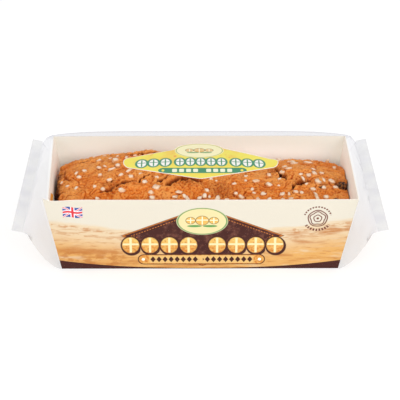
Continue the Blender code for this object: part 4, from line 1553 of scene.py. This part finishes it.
def film_creases(place, share, girth, wrinkle):
    """Folds in the film's ends, which run from the tray to the fin, and faint slack over the tray."""
    if share > 1:
        return 0.0
    swell = math.sin(math.pi * min(1.0, share)) ** 0.8
    side = 1.0 if place.x > 0 else -1.0
    fold = noise.noise(Vector((girth * 26, share * 1.1, side * 7)))
    sharp = abs(noise.noise(Vector((girth * 15 + 9, share * 1.6, side * 3))))
    slack = noise.noise(Vector((place.x * 9, girth * 14, 2.0)))
    pucker = noise.noise(Vector((girth * 90, 1.0, side))) * max(0.0, share - 0.6)
    folds = swell * (fold + 1.2 * (0.3 - min(sharp, 0.3)))
    return wrinkle * (folds + 0.7 * pucker + 0.15 * slack * (1 - share))


def make_film(settings):
    """A grid rolled into a tube round the tray, closed along its seam and at both fins."""
    rings = film_rings(FIN_THICKNESS)
    long, around = len(rings) - 1, len(rings[0]) - 1
    film = add_grid("film_skin", long, around)
    shape_points(film, lambda p: rings[round((p.x + 1) / 2 * long)][round((p.y + 1) / 2 * around)])
    edit_all(film, "VERT")
    bpy.ops.mesh.remove_doubles(threshold=0.00002)
    for side in (-1, 1):
        edit(film, "VERT")
        bpy.ops.mesh.select_non_manifold()
        bpy.ops.object.mode_set(mode="OBJECT")
        for vert in film.data.vertices:
            vert.select = vert.select and vert.co.x * side > 0
        bpy.ops.object.mode_set(mode="EDIT")
        bpy.ops.mesh.edge_face_add()
    bpy.ops.object.mode_set(mode="OBJECT")
    face_outwards(film)
    crease(film, settings.wrinkle)
    for face in film.data.polygons:
        face.material_index = 1 if abs(face.center.x) > FIN_INNER else 0
    smooth(film, 50)
    return film


def crease(film, wrinkle):
    """Moves the film's points along their normals by its folds."""
    places, normals = places_of(film), normals_of(film)
    moved = places.copy()
    for index, (place, normal) in enumerate(zip(places, normals)):
        point = Vector(place)
        end = wall_at(min(point.z, TRAY_HEIGHT), BASE_LENGTH, RIM_LENGTH) + FILM_OFFSET
        share = max(0.0, (abs(point.x) - end) / (FIN_INNER - end))
        girth = math.atan2(point.z - FIN_HEIGHT * 0.8, point.y)
        if abs(point.x) < FIN_INNER - 0.0002 and point.z > 0.002:
            moved[index] += normal * film_creases(point, min(1.0, share), girth, wrinkle)
    move_points(film, moved)


def film_finish(settings):
    """Clear film: all but unseen where it is drawn tight over the tray, hazier in its gathered ends, with a
    painted reflection where it rounds the back rim and a painted warm reflection of the print near the base.
    """
    finish = Finish("clear film", 0.18, Specular_IOR_Level=0.5)
    x, y, z = finish.parts(finish.place)
    wall = finish.add(BASE_LENGTH / 2, finish.times(z, (RIM_LENGTH - BASE_LENGTH) / 2 / TRAY_HEIGHT))
    forward = finish.math("SUBTRACT", 0.5, finish.divide(y, RIM_WIDTH), clamp=True)
    lean = finish.times(forward, finish.is_below(x, 0.0), EAR_WIDTH)
    lean = finish.times(lean, finish.ramp(z, TRAY_HEIGHT - 0.0004, TRAY_HEIGHT + 0.0004))
    past = finish.less(finish.absolute(x), finish.less(wall, lean))
    # Painted reflection where the film rounds the back rim.
    shoulder = finish.times(finish.ramp(y, 0.0535, 0.0560), finish.ramp(z, 0.060, 0.0655))
    ends = finish.ramp(past, -0.0010, 0.0012)
    # Painted reflection of the warm print on the film near the base.
    low = finish.ramp(z, TRAY_HEIGHT * 0.8, TRAY_HEIGHT * 0.5)
    finish.colour(finish.mix(low, settings.veil, settings.print_reflection_veil))
    grazing = finish.node("ShaderNodeLayerWeight", {"Blend": 0.5}).outputs["Facing"]
    rim = finish.times(finish.math("POWER", grazing, 10.0), 0.45)
    haze = finish.highest(finish.times(ends, settings.end_share), finish.times(shoulder, settings.rim_reflection_share))
    cloudy = finish.times(finish.mottle(28, 0.35, 0.70, 3), finish.times(ends, 0.03))
    finish.feed(
        finish.shader.inputs["Alpha"], finish.add(settings.clear_share, rim, finish.add(haze, cloudy))
    )
    return finish.material


def fin_finish(settings):
    """The seal fins: two films pressed together with fine ribs."""
    finish = Finish("sealed fin", 0.35, Specular_IOR_Level=0.35)
    x = finish.parts(finish.place)[0]
    ribs = finish.sine(finish.times(finish.absolute(x), 5200.0))
    finish.colour(finish.mix(finish.mottle(60, 0.3, 0.7), settings.fin, settings.veil))
    cloudy = finish.times(finish.mottle(45, 0.3, 0.7), 0.04)
    finish.feed(finish.shader.inputs["Alpha"], finish.add(settings.fin_share, cloudy))
    finish.bump(ribs, 0.00005)
    return finish.material


# ---------------------------------------------------------------- label


def label_edge(along, middle, taper):
    """An edge's distance from the middle line at a share of the label's half length, with round tips."""
    if along < LABEL_TIP:
        return middle - taper * math.hypot(along, LABEL_BLUNTNESS)
    round_share = (along - LABEL_TIP) / (1 - LABEL_TIP)
    return (middle - taper * LABEL_TIP) * math.sqrt(max(0.0, 1 - round_share**2))


def label_outline(count):
    """Points round the label: along its near edge to the right, and back along its far edge."""
    points = []
    for index in range(count):
        angle = math.tau * index / count
        along = -math.cos(angle)
        x = LABEL_CENTRE_X + along * LABEL_HALF_LENGTH
        if angle <= math.pi:
            points.append((x, LABEL_CENTRE_Y - label_edge(abs(along), *LABEL_NEAR)))
            continue
        far = LABEL_CENTRE_Y + label_edge(abs(along), *(LABEL_FAR_LEFT if along < 0 else LABEL_FAR_RIGHT))
        oval = 1 - ((x - OVAL_CENTRE_X) / OVAL_HALF_LENGTH) ** 2
        if oval > 0:
            far = max(far, OVAL_CENTRE_Y + OVAL_HALF_WIDTH * math.sqrt(oval))
        points.append((x, far))
    return points


def make_label(settings):
    """A disc drawn out to the label's outline, with an unprinted border, laid on the film."""
    outline = label_outline(240)
    deselect_all()
    bpy.ops.mesh.primitive_circle_add(vertices=len(outline), radius=1.0, fill_type="NGON")
    label = added("paper_label")
    move_points(label, [(x, y, 0.0) for x, y in outline])
    edit_all(label)
    bpy.ops.mesh.inset(thickness=settings.border, depth=0)
    bpy.ops.object.mode_set(mode="OBJECT")
    largest = max(label.data.polygons, key=lambda face: face.area)
    largest.material_index = 1
    for axis, low, high, step in ((1, -0.040, 0.026, 0.003), (0, -0.060, 0.061, 0.006)):
        for cut in range(round((high - low) / step) + 1):
            where = [0.0, 0.0, 0.0]
            where[axis] = low + cut * step
            edit_all(label)
            bpy.ops.mesh.bisect(plane_co=where, plane_no=(float(axis == 0), float(axis == 1), 0.0))
    bpy.ops.object.mode_set(mode="OBJECT")
    shape_points(label, lambda p: Vector((p.x, p.y, film_top(p.x, p.y) + GAP)))
    if label.data.polygons[0].normal.z < 0:
        turn_over(label)
    apply_modifier(label, "SOLIDIFY", thickness=settings.paper, offset=1.0)
    smooth(label, 30)
    return label


def label_finish(settings):
    """The label's print: warm yellow, an oval, rows of white buns outlined in green, a green strip."""
    finish = Finish("label print", 0.30, Specular_IOR_Level=0.35)
    x, y, _ = finish.parts(finish.place)
    flat = finish.vector(x, y)
    far = finish.ramp(y, -0.024, 0.016)
    cloud = finish.times(finish.mottle(45, 0.44, 0.66, 5), finish.add(0.2, finish.times(far, 0.6)))
    flecks = finish.times(finish.mottle(230, 0.66, 0.72, 2), far)
    colour = finish.layers(settings.yellow, (cloud, settings.orange), (flecks, srgb(232, 110, 60)))

    arched = finish.vector(x, finish.less(y, finish.times(x, x, LABEL_ARCH)))
    tints = (settings.green, settings.white, settings.green)
    for start, pitch, count in LABEL_BUN_ROWS:
        local = repeated(finish, arched, start, pitch, count)
        half = (pitch * 0.38, 0.0059)
        colour = crossed_bun(finish, colour, local, LABEL_BUN_CENTRE, half, tints, 0.0017, 0.0005)

    level = (0, LABEL_STRIP_CENTRE[1])
    blocks = [repeated(finish, flat, start, 0.0054, 4) for start in (-0.0195, 0.0068)]
    ends = repeated(finish, flat, -0.0285, 0.0610, 2)
    oval = (OVAL_CENTRE_X, OVAL_CENTRE_Y - 0.0001)
    half = (OVAL_HALF_LENGTH - LABEL_OVAL_INSET, OVAL_HALF_WIDTH - LABEL_OVAL_INSET)
    share = finish.oval_share(flat, oval, half)
    colour = finish.layers(
        colour,
        (finish.bar(flat, LABEL_STRIP_CENTRE, LABEL_STRIP_HALF, 0.0047), settings.green),
        *((finish.bar(block, level, (0.0019, 0.0026), 0.0010), srgb(240, 244, 214)) for block in blocks),
        (finish.oval(ends, level, (0.0011, 0.0018), 0.1), settings.yellow),
        (finish.ramp(share, 1.01, 0.99), srgb(246, 238, 190)),
        (finish.near(share, 0.945, 0.028, 0.016), srgb(176, 186, 100)),
    )
    finish.colour(bun_trio(finish, colour, flat, oval, 0.0042))
    finish.bump(finish.mottle(1500, 0.3, 0.7, 2), 0.00003)
    return finish.material


# ---------------------------------------------------------------- operators


class LOAF_OT_crust(bpy.types.Operator):
    """Bakes the loaf: a cracked, crumbed crust on a flat base"""

    bl_idname = "loaf.crust"
    bl_label = "Crust"

    def execute(self, context):
        settings = context.scene.loaf_crust
        dress(make_crust(settings), [crust_finish(settings)], "crust", "loaf")
        return {"FINISHED"}


class LOAF_OT_nibs(bpy.types.Operator):
    """Scatters the sugar nibs over the crust"""

    bl_idname = "loaf.nibs"
    bl_label = "Sugar Nibs"

    def execute(self, context):
        settings = context.scene.loaf_nibs
        dress(make_nibs(settings), [nib_finish(settings)], "crust")
        return {"FINISHED"}


class LOAF_OT_raisins(bpy.types.Operator):
    """Sets the raisins that show in the crust"""

    bl_idname = "loaf.raisins"
    bl_label = "Raisins"

    def execute(self, context):
        settings = context.scene.loaf_raisins
        skin = raisin_finish(settings)
        for index in range(len(RAISINS)):
            dress(make_raisin(settings, index), [skin], "raisin", f"raisin_{index + 1}")
        return {"FINISHED"}


class LOAF_OT_tray(bpy.types.Operator):
    """Folds the card tray and prints it"""

    bl_idname = "loaf.tray"
    bl_label = "Card Tray"

    def execute(self, context):
        settings = context.scene.loaf_tray
        materials = [
            print_finish(settings),
            plain_card("inside card", settings.inside, 0.6, srgb(246, 168, 60)),
            plain_card("cut card edge", settings.edge, 0.8),
        ]
        dress(make_tray(settings, materials), materials, "tray", "tray")
        return {"FINISHED"}


class LOAF_OT_film(bpy.types.Operator):
    """Wraps the tray in clear film with a seal fin at each end"""

    bl_idname = "loaf.film"
    bl_label = "Film"

    def execute(self, context):
        settings = context.scene.loaf_film
        dress(make_film(settings), [film_finish(settings), fin_finish(settings)], "film", "film_wrap")
        return {"FINISHED"}


class LOAF_OT_label(bpy.types.Operator):
    """Sticks the printed paper label on the film"""

    bl_idname = "loaf.label"
    bl_label = "Label"

    def execute(self, context):
        settings = context.scene.loaf_label
        materials = [plain_card("label paper", settings.white, 0.4), label_finish(settings)]
        label = make_label(settings)
        dress(label, materials, "label", "top_label")
        # Thin paper lets the even studio light through to the crust, so it throws no shadow there.
        label.visible_shadow = False
        label.visible_diffuse = False
        return {"FINISHED"}


def soft_light(name, power, size, place, aim):
    lamp = bpy.data.lights.new(name, "AREA")
    lamp.energy = power
    lamp.size = size
    item = bpy.data.objects.new(name, lamp)
    bpy.context.scene.collection.objects.link(item)
    item.location = place
    item.rotation_euler = (Vector(aim) - Vector(place)).to_track_quat("-Z", "Y").to_euler()


class LOAF_OT_stage(bpy.types.Operator):
    """Sets the floor, the soft lights and the camera"""

    bl_idname = "loaf.stage"
    bl_label = "Stage"

    def execute(self, context):
        settings = context.scene.loaf_stage
        deselect_all()
        bpy.ops.mesh.primitive_plane_add(size=8.0)
        floor = added("floor")
        matt = Finish("floor paint", 0.9, Specular_IOR_Level=0.1, Emission_Strength=settings.glow)
        matt.colour(settings.floor)
        matt.feed(matt.shader.inputs["Emission Color"], (1.0, 1.0, 1.0))
        floor.data.materials.append(matt.material)

        world = bpy.data.worlds.new("studio")
        world.use_nodes = True
        world.node_tree.nodes["Background"].inputs["Color"].default_value = (1.0, 1.0, 1.0, 1.0)
        world.node_tree.nodes["Background"].inputs["Strength"].default_value = settings.sky
        context.scene.world = world
        soft_light("front light", settings.front, 0.9, (0.1, -1.4, 0.66), (0, 0, 0.03))
        soft_light("left light", settings.side * 0.7, 0.9, (-1.1, -1.0, 0.72), (0, 0, 0.03))
        soft_light("right light", settings.side, 0.9, (1.1, -1.0, 0.72), (0, 0, 0.03))

        aim = Vector((0.0002, 0.0, 0.0367))
        back = Vector((
            math.sin(settings.turn) * math.cos(settings.elevation),
            -math.cos(settings.turn) * math.cos(settings.elevation),
            math.sin(settings.elevation),
        ))
        lens = bpy.data.cameras.new("camera")
        lens.lens = settings.lens
        lens.sensor_width = 36.0
        camera = bpy.data.objects.new("camera", lens)
        camera.location = aim + back * settings.distance
        camera.rotation_euler = back.to_track_quat("Z", "Y").to_euler()
        context.scene.collection.objects.link(camera)
        context.scene.camera = camera
        context.scene.view_settings.view_transform = "Standard"
        return {"FINISHED"}


class LOAF_PT_panel(bpy.types.Panel):
    """Lists the pieces in the order that they are made"""

    bl_idname = "LOAF_PT_panel"
    bl_label = "Hot Cross Bun Loaf"
    bl_space_type = "VIEW_3D"
    bl_region_type = "UI"
    bl_category = "Loaf"

    def draw(self, context):
        for name, operator in STEPS:
            box = self.layout.box()
            settings = getattr(context.scene, name)
            for item in settings.bl_rna.properties:
                if item.identifier not in {"rna_type", "name"}:
                    box.prop(settings, item.identifier)
            box.operator(operator.bl_idname)


SETTINGS = {
    "loaf_crust": CrustSettings,
    "loaf_nibs": NibSettings,
    "loaf_raisins": RaisinSettings,
    "loaf_tray": TraySettings,
    "loaf_film": FilmSettings,
    "loaf_label": LabelSettings,
    "loaf_stage": StageSettings,
}
STEPS = (
    ("loaf_crust", LOAF_OT_crust),
    ("loaf_nibs", LOAF_OT_nibs),
    ("loaf_raisins", LOAF_OT_raisins),
    ("loaf_tray", LOAF_OT_tray),
    ("loaf_film", LOAF_OT_film),
    ("loaf_label", LOAF_OT_label),
    ("loaf_stage", LOAF_OT_stage),
)
CLASSES = (*SETTINGS.values(), *(operator for _, operator in STEPS), LOAF_PT_panel)


def register():
    for item in CLASSES:
        bpy.utils.register_class(item)
    for name, group in SETTINGS.items():
        setattr(bpy.types.Scene, name, PointerProperty(type=group))


def unregister():
    for name in SETTINGS:
        delattr(bpy.types.Scene, name)
    for item in reversed(CLASSES):
        bpy.utils.unregister_class(item)


def main():
    register()
    bpy.ops.loaf.crust()
    bpy.ops.loaf.nibs()
    bpy.ops.loaf.raisins()
    bpy.ops.loaf.tray()
    bpy.ops.loaf.film()
    bpy.ops.loaf.label()
    bpy.ops.loaf.stage()


if __name__ == "__main__":
    main()
